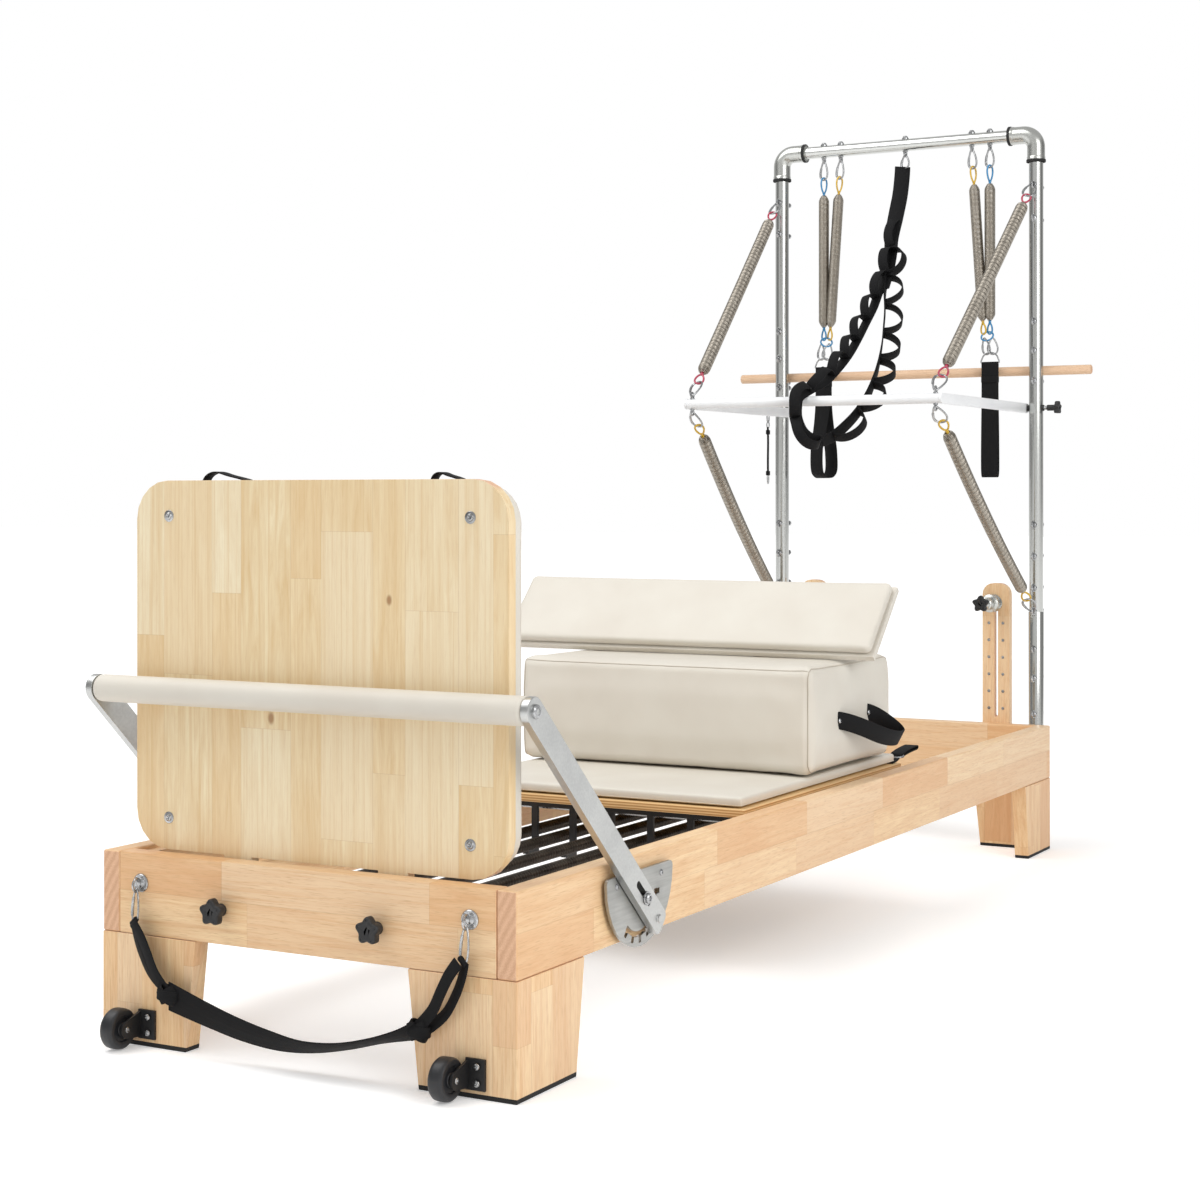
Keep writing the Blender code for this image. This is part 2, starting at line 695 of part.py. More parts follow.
def build_keeper():
    front = BOARD_BACK + FIT_GAP
    low = KNOB_HEIGHT - KEEPER_HEIGHT / 2
    high = KNOB_HEIGHT + KEEPER_HEIGHT / 2
    pieces = [block(front, front + KEEPER_THICK, -KEEPER_HALF, KEEPER_HALF, low, high)]
    between = KNOB_SPREAD - TONGUE_WIDTH / 2 - 0.006
    outside = KNOB_SPREAD + TONGUE_WIDTH / 2 + 0.006
    for start, end in ((-between, between), (outside, KEEPER_HALF - SINK), (SINK - KEEPER_HALF, -outside)):
        pieces.append(block(RAIL_THICK + FIT_GAP, front + SINK, start, end, low + SINK, high - SINK))
    finish(combine(pieces), "board_keeper", BLACK_STEEL)


def build_jump_board():
    # The panel and its two tongues are one board, cut in one outline.
    half_tongue = TONGUE_WIDTH / 2
    tongue_low = KNOB_HEIGHT - TONGUE_BELOW_KNOB
    outline = rounded_rectangle(-BOARD_HALF, BOARD_HALF, BOARD_LOW, BOARD_TOP, BOARD_CORNER)
    left_corner = 3 * 6
    tongues = []
    for middle in (-KNOB_SPREAD, KNOB_SPREAD):
        tongues += [
            (middle - half_tongue, BOARD_LOW), (middle - half_tongue, tongue_low),
            (middle + half_tongue, tongue_low), (middle + half_tongue, BOARD_LOW),
        ]
    outline = outline[:left_corner] + tongues + outline[left_corner:]
    pieces = [plate(outline, BOARD_THICK, "YZ", BOARD_FRONT)]
    for side in (1, -1):
        y = side * (BOARD_HALF - BOARD_BOLT_INSET)
        for z in (BOARD_LOW + BOARD_BOLT_LOW, BOARD_TOP - BOARD_BOLT_HIGH):
            head = (BOARD_FRONT - BOARD_BOLT_PROUD, y, z)
            pieces.append(rod(head, (BOARD_FRONT + SINK, y, z), 0.0055, 10, 0.0080))
    finish(combine(pieces), "jump_board", PALE_WOOD, (BOARD_FRONT, 0.0, BOARD_LOW))

    back = BOARD_BACK + FIT_GAP
    inset = BOARD_PAD_INSET
    outline = rounded_rectangle(
        -BOARD_HALF + inset, BOARD_HALF - inset, BOARD_LOW + inset, BOARD_TOP - inset, BOARD_CORNER - inset, 4
    )
    pieces = [soften(plate(outline, BOARD_PAD, "YZ", back), 0.005, 1, 60.0)]
    for y, half in ((0.161, 0.044), (-0.219, 0.030)):
        points = []
        hump = ((-1.0, -0.020), (-0.9, 0.005), (-0.4, 0.011), (0.4, 0.011), (0.9, 0.005), (1.0, -0.020))
        for along, up in hump:
            points.append((back + BOARD_PAD / 2, y + along * half, BOARD_TOP + up))
        pieces.append(ribbon(points, 0.016, 0.0030, (1, 0, 0)))
    finish(combine(pieces), "jump_board_pad", LEATHER, (BOARD_FRONT, 0.0, BOARD_LOW))


def build_transport_wheels():
    spots = (("left", HALF_WIDTH - WHEEL_INSETS[0]), ("right", WHEEL_INSETS[1] - HALF_WIDTH))
    for name, middle in spots:
        low = middle - WHEEL_WIDTH / 2
        pin = BRACKET_GAP + BRACKET_THICK
        rim = WHEEL_RADIUS
        profile = [
            (0.0, -pin - 0.004), (0.0062, -pin - 0.004), (0.0062, -pin - FIT_GAP),
            (WHEEL_PIN_RADIUS, -pin - FIT_GAP), (WHEEL_PIN_RADIUS, -FIT_GAP), (0.0090, 0.0), (0.0100, 0.0025),
            (rim - 0.0080, 0.0025), (rim - 0.0060, 0.0), (rim - 0.0040, 0.0), (rim, 0.0040),
            (rim, WHEEL_WIDTH - 0.0040), (rim - 0.0040, WHEEL_WIDTH), (0.0, WHEEL_WIDTH),
        ]
        wheel = turned(profile, (WHEEL_X, low, WHEEL_Z), (0, 1, 0), 12)
        finish(wheel, "transport_wheel_" + name, BLACK_PLASTIC, (WHEEL_X, middle, WHEEL_Z))

        face = low - BRACKET_GAP
        bottom = WHEEL_Z + 0.003 - BRACKET_HEIGHT / 2
        top = WHEEL_Z + 0.003 + BRACKET_HEIGHT / 2
        outline = [(-FIT_GAP - SINK, top - SINK)]
        outline += arc(WHEEL_X, WHEEL_Z, 0.0130, 90, 270, 8)
        outline += [(-FIT_GAP - SINK, bottom + SINK)]
        pin_hole = round_hole(WHEEL_X, WHEEL_Z, WHEEL_PIN_RADIUS + WHEEL_PIN_CLEARANCE, 10)
        cheek = plate(outline, BRACKET_THICK, "XZ", face - BRACKET_THICK, [pin_hole])
        flange = block(
            -FIT_GAP - BRACKET_THICK, -FIT_GAP, face - BRACKET_FLANGE - BRACKET_THICK, face + 0.001,
            bottom, top,
        )
        pieces = [flange, cheek]
        for z in (bottom + 0.011, top - 0.011):
            y = face - 0.016
            pieces.append(rod((-FIT_GAP - BRACKET_THICK - 0.002, y, z), (-FIT_GAP - 0.002, y, z), 0.0045, 8))
        finish(combine(pieces), "wheel_bracket_" + name, BLACK_STEEL)


def build_spring_bar():
    # The springs' button ends sit in open slots of the bar.
    front = SPRING_BAR_X - SPRING_BAR_THICK / 2
    back = SPRING_BAR_X + SPRING_BAR_THICK / 2
    bar = block(front, back, -CROSS_HALF, CROSS_HALF, SPRING_HEIGHT - 0.017, SPRING_HEIGHT + 0.009)
    half = SPRING_WIRE + 0.002
    slots = []
    for y in spring_lines():
        low = SPRING_HEIGHT - half
        slots.append(block(front - SINK, back + SINK, y - half, y + half, low, SPRING_HEIGHT + 0.02))
    finish(cut(bar, slots), "spring_bar", BLACK_STEEL)


def build_reformer_springs():
    # Five long springs share the tail rod that hooks them to the carriage.
    tail = spring_lines()[0] + 0.020
    ends = ((SPRING_TAIL_X, -tail, SPRING_HEIGHT), (SPRING_TAIL_X, tail, SPRING_HEIGHT))
    pieces = [rod(ends[0], ends[1], TAIL_RADIUS, 8)]
    start = SPRING_BAR_X - SPRING_BAR_THICK / 2 - SPRING_BUTTON
    length = SPRING_TAIL_X - start
    for y in spring_lines():
        profile = [
            (0.0, 0.0), (0.0080, 0.002), (0.0080, SPRING_BUTTON - FIT_GAP),
            (SPRING_WIRE, SPRING_BUTTON - FIT_GAP),
            (SPRING_WIRE, SPRING_NECK), (SPRING_RADIUS, SPRING_NECK + SPRING_CONE),
            (SPRING_RADIUS, length - SPRING_TAIL - SPRING_CONE), (SPRING_WIRE, length - SPRING_TAIL),
            (SPRING_WIRE, length), (0.0, length),
        ]
        pieces.append(turned(profile, (start, y, SPRING_HEIGHT), (1, 0, 0), 6))
    finish(combine(pieces), "reformer_springs", SPRING_STEEL, (SPRING_BAR_X, 0.0, SPRING_HEIGHT))


def build_carriage():
    pieces = [block(CARRIAGE_FRONT, CARRIAGE_REAR, -DECK_HALF, DECK_HALF, DECK_BOTTOM, DECK_TOP, 0.0015)]
    rise = DECK_TOP - DECK_THICK / 2
    for side in (1, -1):
        y = side * (DECK_HALF - 0.021)
        line = [(-0.004, 0.0), (0.014, 0.008), (0.032, 0.014), (0.100, 0.012)]
        strap = [(CARRIAGE_REAR + run, y, rise + up) for run, up in line]
        pieces.append(ribbon(strap, 0.030, 0.004, (0, 1, 0)))
    finish(combine(pieces), "carriage_deck", PLY, (CARRIAGE_FRONT, 0.0, DECK_BOTTOM))

    size = (CARRIAGE_LENGTH - 2 * PAD_INSET, 2 * (DECK_HALF - PAD_INSET), PAD_THICK)
    pad = cushion(size, 0.0055, 0.002, 0.0015)
    middle = ((CARRIAGE_FRONT + CARRIAGE_REAR) / 2, 0.0, PAD_TOP - PAD_THICK / 2)
    pad.data.transform(Matrix.Translation(middle))
    finish(pad, "carriage_pad", LEATHER, (CARRIAGE_FRONT, 0.0, DECK_BOTTOM))

    top = DECK_BOTTOM - FIT_GAP
    front = COMB_X - COMB_THICK / 2
    back = COMB_X + COMB_THICK / 2
    rear = CARRIAGE_REAR - 0.024
    pieces = []
    for side in (1, -1):
        outer = side * (RUNNER_HALF + RUNNER_THICK / 2)
        pieces.append(block(front, rear, outer - side * RUNNER_THICK, outer, top - RUNNER_DEEP, top))
        inner = outer - side * 0.024
        pieces.append(
            block(front - SINK, rear + SINK, inner, outer - side * 0.001, top - 0.003, top - 0.0001)
        )
    cross = RUNNER_HALF
    pieces.append(block(front, back, -cross, cross, top - 0.010, top - 0.0002))
    comb_low = DECK_BOTTOM - COMB_DROP
    for index in range(SPRING_COUNT + 1):
        y = SPRING_PITCH * (SPRING_COUNT / 2 - index)
        half = COMB_TOOTH / 2
        outline = [
            (back - 0.0005, top - 0.005), (front + 0.0005, top - 0.005), (front + 0.0005, comb_low + 0.007),
            (front - COMB_FOOT, comb_low + 0.007), (front - COMB_FOOT, comb_low), (back - 0.0005, comb_low),
        ]
        pieces.append(plate(outline, COMB_TOOTH, "XZ", y - half))
    anchor = SPRING_TAIL_X + TAIL_RADIUS + FIT_GAP
    pieces.append(block(anchor, anchor + 0.010, -cross, cross, SPRING_HEIGHT - 0.012, top - 0.0003))
    for y in spring_lines():
        low = SPRING_HEIGHT - TAIL_RADIUS - FIT_GAP
        pieces.append(block(SPRING_TAIL_X - 0.006, anchor + SINK, y + 0.012, y + 0.020, low - 0.005, low))
    holes = []
    for x in (CARRIAGE_FRONT + AXLE_INSET, CARRIAGE_REAR - AXLE_INSET):
        for side in (1, -1):
            y = side * RUNNER_HALF
            wide = AXLE_RADIUS + AXLE_CLEARANCE
            holes.append(bore((x, y - 0.01, AXLE_HEIGHT), (x, y + 0.01, AXLE_HEIGHT), wide, 10))
    finish(cut(combine(pieces), holes), "carriage_frame", BLACK_STEEL, (CARRIAGE_FRONT, 0.0, DECK_BOTTOM))

    for name, x in (("front", CARRIAGE_FRONT + AXLE_INSET), ("rear", CARRIAGE_REAR - AXLE_INSET)):
        rim = CARRIAGE_WHEEL_RADIUS
        hub = RUNNER_HALF + RUNNER_THICK / 2 + 0.001
        half = [
            (AXLE_RADIUS, hub), (0.0075, hub), (0.0075, WHEEL_INNER), (rim - 0.002, WHEEL_INNER),
            (rim, WHEEL_INNER + 0.002), (rim, WHEEL_OUTER - 0.002), (rim - 0.002, WHEEL_OUTER),
            (0.0, WHEEL_OUTER),
        ]
        profile = [(radius, -along) for radius, along in reversed(half)] + half
        wheels = turned(profile, (x, 0.0, AXLE_HEIGHT), (0, 1, 0), 10)
        finish(wheels, "carriage_wheels_" + name, BLACK_PLASTIC, (x, 0.0, AXLE_HEIGHT))


def build_box():
    box = cushion((BOX_LENGTH, 2 * BOX_HALF, BOX_HEIGHT), 0.013, 0.003, 0.002)
    box.data.transform(Matrix.Translation((BOX_X + BOX_LENGTH / 2, 0.0, BOX_LOW + BOX_HEIGHT / 2)))
    pieces = [box]
    front = BOX_X + HANDLE_FRONT
    line = [
        (0.0, -0.006, 0.0), (0.02, 0.020, -0.004), (0.30, 0.052, -0.040), (0.62, 0.058, -0.046),
        (0.93, 0.030, -0.002), (1.0, -0.006, 0.018),
    ]
    for side in (1, -1):
        points = []
        for share, out, up in line:
            x = front + share * HANDLE_SPAN
            points.append((x, side * (BOX_HALF + out), BOX_LOW + HANDLE_RISE + up))
        pieces.append(ribbon(points, 0.026, 0.0035, (0, 0, 1)))
    finish(combine(pieces), "sitting_box", LEATHER, (BOX_X, 0.0, BOX_LOW))


def build_slope():
    base = BOX_TOP + FIT_GAP
    angle = math.radians(SLOPE_DEGREES)
    along = Vector((math.cos(angle), 0.0, math.sin(angle)))
    normal = Vector((-math.sin(angle), 0.0, math.cos(angle)))
    foot = Vector((SLOPE_X, 0.0, base))

    def at(run, rise):
        point = foot + along * run + normal * rise
        return (point.x, point.z)

    wide = SLOPE_LEFT - SLOPE_RIGHT
    board = plate(
        [at(0.0, 0.0), at(SLOPE_LENGTH, 0.0), at(SLOPE_LENGTH, SLOPE_BOARD), at(0.0, SLOPE_BOARD)],
        wide, "XZ", SLOPE_RIGHT,
    )
    pieces = [board]
    for y in (0.225, -0.125):
        top_x, top_z = at(SLOPE_LENGTH * 0.86, SLOPE_BOARD / 3)
        bottom_x, bottom_z = at(SLOPE_BOARD / 3, SLOPE_BOARD / 3)
        brace = [(SLOPE_X + 0.001, base), (top_x, base), (top_x, top_z), (bottom_x, bottom_z)]
        pieces.append(plate(brace, 0.018, "XZ", y))
    finish(combine(pieces), "slope_stand", PLY, (SLOPE_X, 0.0, base))

    pad = cushion((SLOPE_LENGTH, wide, SLOPE_PAD), 0.0065, 0.0015, 0.001)
    middle = foot + along * (SLOPE_LENGTH / 2) + normal * (SLOPE_BOARD + FIT_GAP + SLOPE_PAD / 2)
    middle.y = (SLOPE_LEFT + SLOPE_RIGHT) / 2
    pad.data.transform(Matrix.Translation(middle) @ Matrix.Rotation(-angle, 4, "Y"))
    finish(pad, "slope_pad", LEATHER, (SLOPE_X, 0.0, base))


def build_footbar():
    pivot = Vector((PIVOT_X, PIVOT_Z))
    top = Vector((ROLLER_X, ROLLER_Z))
    down = (pivot - top).normalized()
    lean = math.degrees(math.atan2(down.y, down.x))
    cross = Vector((-down.y, down.x))
    pin = pivot + down * PIN_REACH
    end = pin + down * ARM_TAIL
    outline = arc(top.x, top.y, ARM_HALF, lean + 90, lean + 270, 10)
    for turn in (-1, 1):
        middle = end - down * ARM_CORNER + cross * (turn * (ARM_HALF - ARM_CORNER))
        first = lean - 90 if turn < 0 else lean
        outline += arc(middle.x, middle.y, ARM_CORNER, first, first + 90, 3)
    slot_radius = (PIVOT_RADIUS + PIVOT_CLEARANCE) / math.cos(math.pi / 12)
    far = pivot - down * ARM_SLOT_ABOVE
    near = pivot + down * ARM_SLOT_BELOW
    slot = arc(far.x, far.y, slot_radius, lean + 90, lean + 270, 6)
    slot += arc(near.x, near.y, slot_radius, lean - 90, lean + 90, 6)
    for side in (1, -1):
        low = ARM_INNER if side > 0 else -ARM_OUTER
        arm = plate(outline, ARM_THICK, "XZ", low, [slot])
        head = rod(
            (top.x, side * (ARM_OUTER - SINK), top.y), (top.x, side * (ARM_OUTER + 0.0045), top.y),
            0.0095, 12, 0.0075,
        )
        pin_rod = rod(
            (pin.x, side * (ARM_INNER + SINK), pin.y), (pin.x, side * (PLATE_INNER - SINK), pin.y),
            PIN_RADIUS, 10,
        )
        pin_head = rod(
            (pin.x, side * (ARM_OUTER - SINK), pin.y), (pin.x, side * (ARM_OUTER + 0.0035), pin.y), 0.0060, 10
        )
        whole = combine([arm, head, pin_rod, pin_head])
        finish(whole, "footbar_arm_" + side_name(side), ALLOY, (PIVOT_X, 0.0, PIVOT_Z))
        build_quadrant(side, pivot, lean)
        build_pivot_bolt(side)

    reach = ARM_INNER - FIT_GAP
    rim = ROLLER_RADIUS
    profile = [
        (0.0, 0.0), (rim - 0.004, 0.0), (rim, 0.004), (rim, 2 * reach - 0.004), (rim - 0.004, 2 * reach),
        (0.0, 2 * reach),
    ]
    roller = turned(profile, (ROLLER_X, -reach, ROLLER_Z), (0, 1, 0), 16)
    finish(roller, "footbar_roller", LEATHER, (PIVOT_X, 0.0, PIVOT_Z))


def build_quadrant(side, pivot, lean):
    # Half round plate with an arc slot, open on its outer side into notches that hold the lock pin.
    middle_x = PIVOT_X + PLATE_FORWARD
    middle_z = PIVOT_Z + PLATE_RISE
    land = PLATE_LAND
    outline = arc(middle_x, middle_z, PLATE_RADIUS, 180, 360, 16)
    outline += arc(middle_x + PLATE_RADIUS - land, middle_z + 0.0005, land, 15, 90, 3)
    outline += arc(middle_x - PLATE_RADIUS + land, middle_z + 0.0005, land, 90, 165, 3)
    half_slot = PIN_RADIUS + PIN_CLEARANCE
    inner = PIN_REACH - half_slot
    outer = PIN_REACH + half_slot
    tip = PIN_REACH + PIN_DROP + PIN_RADIUS + PIN_CLEARANCE
    notches = [lean + NOTCH_STEP * index for index in range(-NOTCHES_DOWN, NOTCHES_UP + 1)]
    start = notches[0] - SLOT_END
    stop = notches[-1] + SLOT_END
    half_mouth = math.degrees(math.asin(half_slot / outer))
    half_tip = math.degrees(math.asin(half_slot / tip))
    ring = arc(pivot.x, pivot.y, inner, stop, start, 12)
    angle = start
    for notch in notches:
        ring += arc(pivot.x, pivot.y, outer, angle, notch - half_mouth, 1)
        ring += arc(pivot.x, pivot.y, tip, notch - half_tip, notch + half_tip, 1)
        angle = notch + half_mouth
    ring += arc(pivot.x, pivot.y, outer, angle, stop, 1)
    hole = round_hole(pivot.x, pivot.y, PIVOT_RADIUS + PIVOT_CLEARANCE)
    low = PLATE_INNER if side > 0 else -PLATE_OUTER
    pieces = [plate(outline, PLATE_THICK, "XZ", low, [ring, hole])]
    for across, up in ((-0.041, -0.008), (0.051, 0.015)):
        x = pivot.x + across
        z = pivot.y + up
        pieces.append(
            rod((x, side * (HALF_WIDTH + FIT_GAP), z), (x, side * (PLATE_INNER + SINK), z), BOSS_RADIUS, 8)
        )
    finish(combine(pieces), "quadrant_plate_" + side_name(side), ALLOY)


def build_pivot_bolt(side):
    start = HALF_WIDTH + FIT_GAP
    flange = PLATE_INNER - 0.001
    washer = ARM_OUTER + FIT_GAP
    profile = [
        (0.0, start), (0.0085, start), (0.0085, flange), (PIVOT_RADIUS, flange), (PIVOT_RADIUS, washer),
        (0.0100, washer), (0.0100, washer + 0.0015), (0.0078, washer + 0.0015), (0.0078, washer + 0.0045),
        (0.0055, washer + 0.0060), (0.0, washer + 0.0060),
    ]
    bolt = turned(profile, (PIVOT_X, 0.0, PIVOT_Z), (0, side, 0), 12)
    finish(bolt, "footbar_bolt_" + side_name(side), STEEL, (PIVOT_X, 0.0, PIVOT_Z))


def build_carry_strap():
    half = [(EYE_SPREAD * out, EYE_HEIGHT * up) for out, up in STRAP_SHARES]
    line = half + [(-y, z) for y, z in reversed(half[:-1])]
    pieces = [ribbon([(STRAP_X, y, z) for y, z in line], STRAP_WIDTH, STRAP_THICK, (1, 0, 0))]
    knot_low = EYE_HEIGHT * KNOT_LOW_SHARE
    knot_high = EYE_HEIGHT * KNOT_HIGH_SHARE
    low = EYE_HEIGHT * STRAP_HOOK_SHARE
    ring = EYE_HEIGHT - 0.002 - 0.0085 * math.cos(math.pi / 6) + EYE_WIRE + HOOK_GAP + HOOK_WIRE
    middle = (ring + low) / 2
    half_long = (ring - low) / 2 / math.cos(math.pi / 8)
    for side in (1, -1):
        y = side * EYE_SPREAD * KNOT_SHARE
        pieces.append(block(-0.0340, -0.0080, y - KNOT_HALF, y + KNOT_HALF, knot_low, knot_high))
        at_eye = side * EYE_SPREAD
        pieces.append(
            loop((-0.0110, at_eye, middle), (0, 0, 1), (0, 1, 0), half_long, 0.0075, HOOK_WIRE, 8)
        )
        pieces.append(block(-0.0260, -0.0085, at_eye - 0.012, at_eye + 0.012, low - 0.004, low + 0.010))
    finish(combine(pieces), "carry_strap", WEBBING)


def eyebolt(base, direction, hang):
    # The ring of an eyebolt, screwed home until its wire sinks into the surface at base.
    base = Vector(base)
    direction = Vector(direction)
    centre = base + direction * EYE_OUT
    return [loop(centre, direction, hang, EYE_RING, EYE_RING, EYE_WIRE, EYE_SIDES)]


def build_tower():
    for side in (1, -1):
        y = side * POST_SPREAD
        top = ELBOW_LOW + SOCKET_DEEP - FIT_GAP
        profile = [
            (0.0, POST_FLOOR_GAP), (SLEEVE_RADIUS, POST_FLOOR_GAP), (SLEEVE_RADIUS, SLEEVE_TOP),
            (POST_RADIUS, SLEEVE_TOP + 0.0005), (POST_RADIUS, top), (0.0, top),
        ]
        post = turned(profile, (POST_X, y, 0.0), (0, 0, 1), POST_SIDES)
        pieces = [post]
        for z in POST_EYES:
            surface = SLEEVE_RADIUS if z < SLEEVE_TOP else POST_RADIUS
            pieces += eyebolt((POST_X - surface, y, z), (-1, 0, 0), (0, 0, 1))
        rear = POST_X + SLEEVE_RADIUS + 0.003
        for z in SADDLE_HEIGHTS:
            low = z - SADDLE_HALF
            high = z + SADDLE_HALF
            inner = SLEEVE_RADIUS + 0.003
            pieces.append(block(FRAME_LENGTH + FIT_GAP, rear, y - inner, y + inner, low, high))
            wing = (y - SADDLE_WING, y + SADDLE_WING, low + 0.001, high - 0.001)
            pieces.append(block(FRAME_LENGTH + FIT_GAP, FRAME_LENGTH + 0.004, *wing))
        hook_x = DOWEL_X + DOWEL_HOOK_REACH
        hook = [
            (POST_X + POST_RADIUS - SINK, y, DOWEL_HOOK_Z), (hook_x - 0.003, y, DOWEL_HOOK_Z),
            (hook_x, y, DOWEL_HOOK_Z + 0.003), (hook_x, y, DOWEL_HOOK_Z + 0.012),
        ]
        pieces.append(tube(hook, DOWEL_HOOK_WIRE, level=1))
        wide = PUSH_PIN_RADIUS + PUSH_PIN_CLEARANCE
        hole = bore((POST_X, y - 0.03, PUSH_Z), (POST_X, y + 0.03, PUSH_Z), wide, 10)
        finish(cut(combine(pieces), [hole]), "tower_post_" + side_name(side), STEEL)

        path = [(POST_X, y, ELBOW_LOW)]
        for step in range(5):
            angle = math.radians(90 * step / 4)
            path.append(
                (POST_X, side * (POST_SPREAD - ELBOW_BEND + ELBOW_BEND * math.cos(angle)),
                 TOP_BAR_Z - ELBOW_BEND + ELBOW_BEND * math.sin(angle))
            )
        path.append((POST_X, side * ELBOW_SIDE, TOP_BAR_Z))
        lip = ELBOW_RADIUS + ELBOW_LIP
        mouth = side * (ELBOW_SIDE - 0.001)
        elbow = combine([
            tube(path, ELBOW_RADIUS, level=4),
            rod((POST_X, y, ELBOW_LOW - 0.001), (POST_X, y, ELBOW_LOW + 0.005), lip, 12),
            rod((POST_X, mouth, TOP_BAR_Z), (POST_X, mouth + side * 0.006, TOP_BAR_Z), lip, 12),
        ])
        holes = [
            bore((POST_X, y, ELBOW_LOW - 0.01), (POST_X, y, ELBOW_LOW + SOCKET_DEEP), POST_RADIUS + FIT_GAP),
            bore((POST_X, side * (ELBOW_SIDE - 0.01), TOP_BAR_Z),
                 (POST_X, side * (ELBOW_SIDE + SOCKET_DEEP), TOP_BAR_Z), TOP_BAR_RADIUS + FIT_GAP),
        ]
        finish(cut(elbow, holes), "tower_elbow_" + side_name(side), STEEL)

    half = ELBOW_SIDE + SOCKET_DEEP - FIT_GAP
    pieces = [rod((POST_X, -half, TOP_BAR_Z), (POST_X, half, TOP_BAR_Z), TOP_BAR_RADIUS, 14)]
    for y in (OUTER_EYE, INNER_EYE, 0.0, -INNER_EYE, -OUTER_EYE):
        pieces += eyebolt((POST_X, y, TOP_BAR_Z - TOP_BAR_RADIUS), (0, 0, -1), (1, 0, 0))
    finish(combine(pieces), "tower_top_bar", STEEL)


def build_push_bar():
    end = PUSH_HALF - SINK
    pieces = [rod((PUSH_X, -end, PUSH_Z), (PUSH_X, end, PUSH_Z), PUSH_TUBE_RADIUS, 12)]
    for side in (1, -1):
        outline = arc(PUSH_X, PUSH_Z, PUSH_ARM_DEEP + 0.001, 90, 270, 6)
        outline += arc(POST_X, PUSH_Z, PUSH_ARM_DEEP, 270, 450, 6)
        low = PUSH_HALF - PUSH_ARM_THICK if side > 0 else -PUSH_HALF
        pieces.append(plate(outline, PUSH_ARM_THICK, "XZ", low))
        tip = PUSH_TIP if side < 0 else PUSH_TIP + SAFETY_GAP
        pieces.append(
            rod((POST_X, side * (PUSH_HALF - SINK), PUSH_Z), (POST_X, side * tip, PUSH_Z),
                PUSH_PIN_RADIUS, 10)
        )
        for up in (1, -1):
            inner = side * (PUSH_HALF - PUSH_EYE_INSET - PUSH_ARM_THICK)
            base = (PUSH_X, inner, PUSH_Z + up * PUSH_TUBE_RADIUS)
            pieces += eyebolt(base, (0, 0, up), (1, 0, 0))
    tip = PUSH_TIP + SAFETY_GAP
    pieces.append(rod((POST_X, tip - 0.001, PUSH_Z), (POST_X, tip + 0.004, PUSH_Z), 0.0090, 12))
    finish(combine(pieces), "push_bar", WHITE_ALLOY, (POST_X, 0.0, PUSH_Z))

    inner = -PUSH_TIP - FIT_GAP
    stem = rod((POST_X, inner, PUSH_Z), (POST_X, inner - 0.022, PUSH_Z), 0.0065, 10)
    grip = lobed_knob((POST_X, inner - 0.0255, PUSH_Z), (0, 1, 0), 0.011, 0.0145, 0.0026)
    finish(combine([grip, stem]), "push_bar_knob", BLACK_PLASTIC, (POST_X, 0.0, PUSH_Z))


def coil_spring(start, end, turns):
    # One wire: a hook loop, a drawn up helix and a second hook loop. Start and end are
    # the middles of the wire where each loop bears on its ring.
    start = Vector(start)
    end = Vector(end)
    run = (end - start).normalized()
    length = (end - start).length
    side_way = Vector((0, 1, 0))
    side_way = (side_way - run * side_way.dot(run)).normalized()
    third = run.cross(side_way)
    ring = 0.0070
    bend = [50, 110, 168, 192, 250, 320]
    hook = []
    for angle in bend:
        turn = math.radians(angle)
        along = ring * math.cos(math.radians(12)) + ring * math.cos(turn)
        hook.append((along, ring * math.sin(turn), 0.0))
    hook.append((0.0210, 0.0, 0.0))
    steps = turns * COIL_POINTS
    coil = length - 2 * COIL_LEAD
    points = list(hook)
    for step in range(steps + 1):
        share = step / steps
        taper = min(1.0, 0.35 + 4.0 * min(share, 1.0 - share))
        turn = 2 * math.pi * turns * share
        reach = COIL_RADIUS * taper
        points.append((COIL_LEAD + coil * share, reach * math.cos(turn), reach * math.sin(turn)))
    points += [(length - along, across, up) for along, across, up in reversed(hook)]
    path = [start + run * along + side_way * across + third * up for along, across, up in points]
    measure_gap(path)
    return tube(path, HOOK_WIRE, level=1)


def measure_gap(path):
    # The least distance between stretches of one wire that are not neighbours.
    near = 6 * HOOK_WIRE
    least = 1.0
    travelled = [0.0]
    for before, after in zip(path, path[1:]):
        travelled.append(travelled[-1] + (after - before).length)
    for first in range(len(path)):
        for second in range(first + 1, len(path)):
            if travelled[second] - travelled[first] > near:
                least = min(least, (path[first] - path[second]).length)
    GAPS.append(least - 2 * HOOK_WIRE)


def build_push_springs():
    bar_y = PUSH_HALF - PUSH_EYE_INSET - PUSH_ARM_THICK
    rise = PUSH_TUBE_RADIUS + EYE_OUT
    for side in (1, -1):
        for name, post_z, bar_z in (
            ("upper", POST_EYES[UPPER_SPRING_EYE], PUSH_Z + rise),
            ("lower", POST_EYES[LOWER_SPRING_EYE], PUSH_Z - rise),
        ):
            top = Vector((POST_X - POST_RADIUS - EYE_OUT, side * POST_SPREAD, post_z))
            bottom = Vector((PUSH_X, side * bar_y, bar_z))
            run = (bottom - top).normalized()
            spring = coil_spring(top + run * HOOK_OFFSET, bottom - run * HOOK_OFFSET, PUSH_TURNS)
            finish(spring, "push_spring_" + name + "_" + side_name(side), SPRING_STEEL, top)


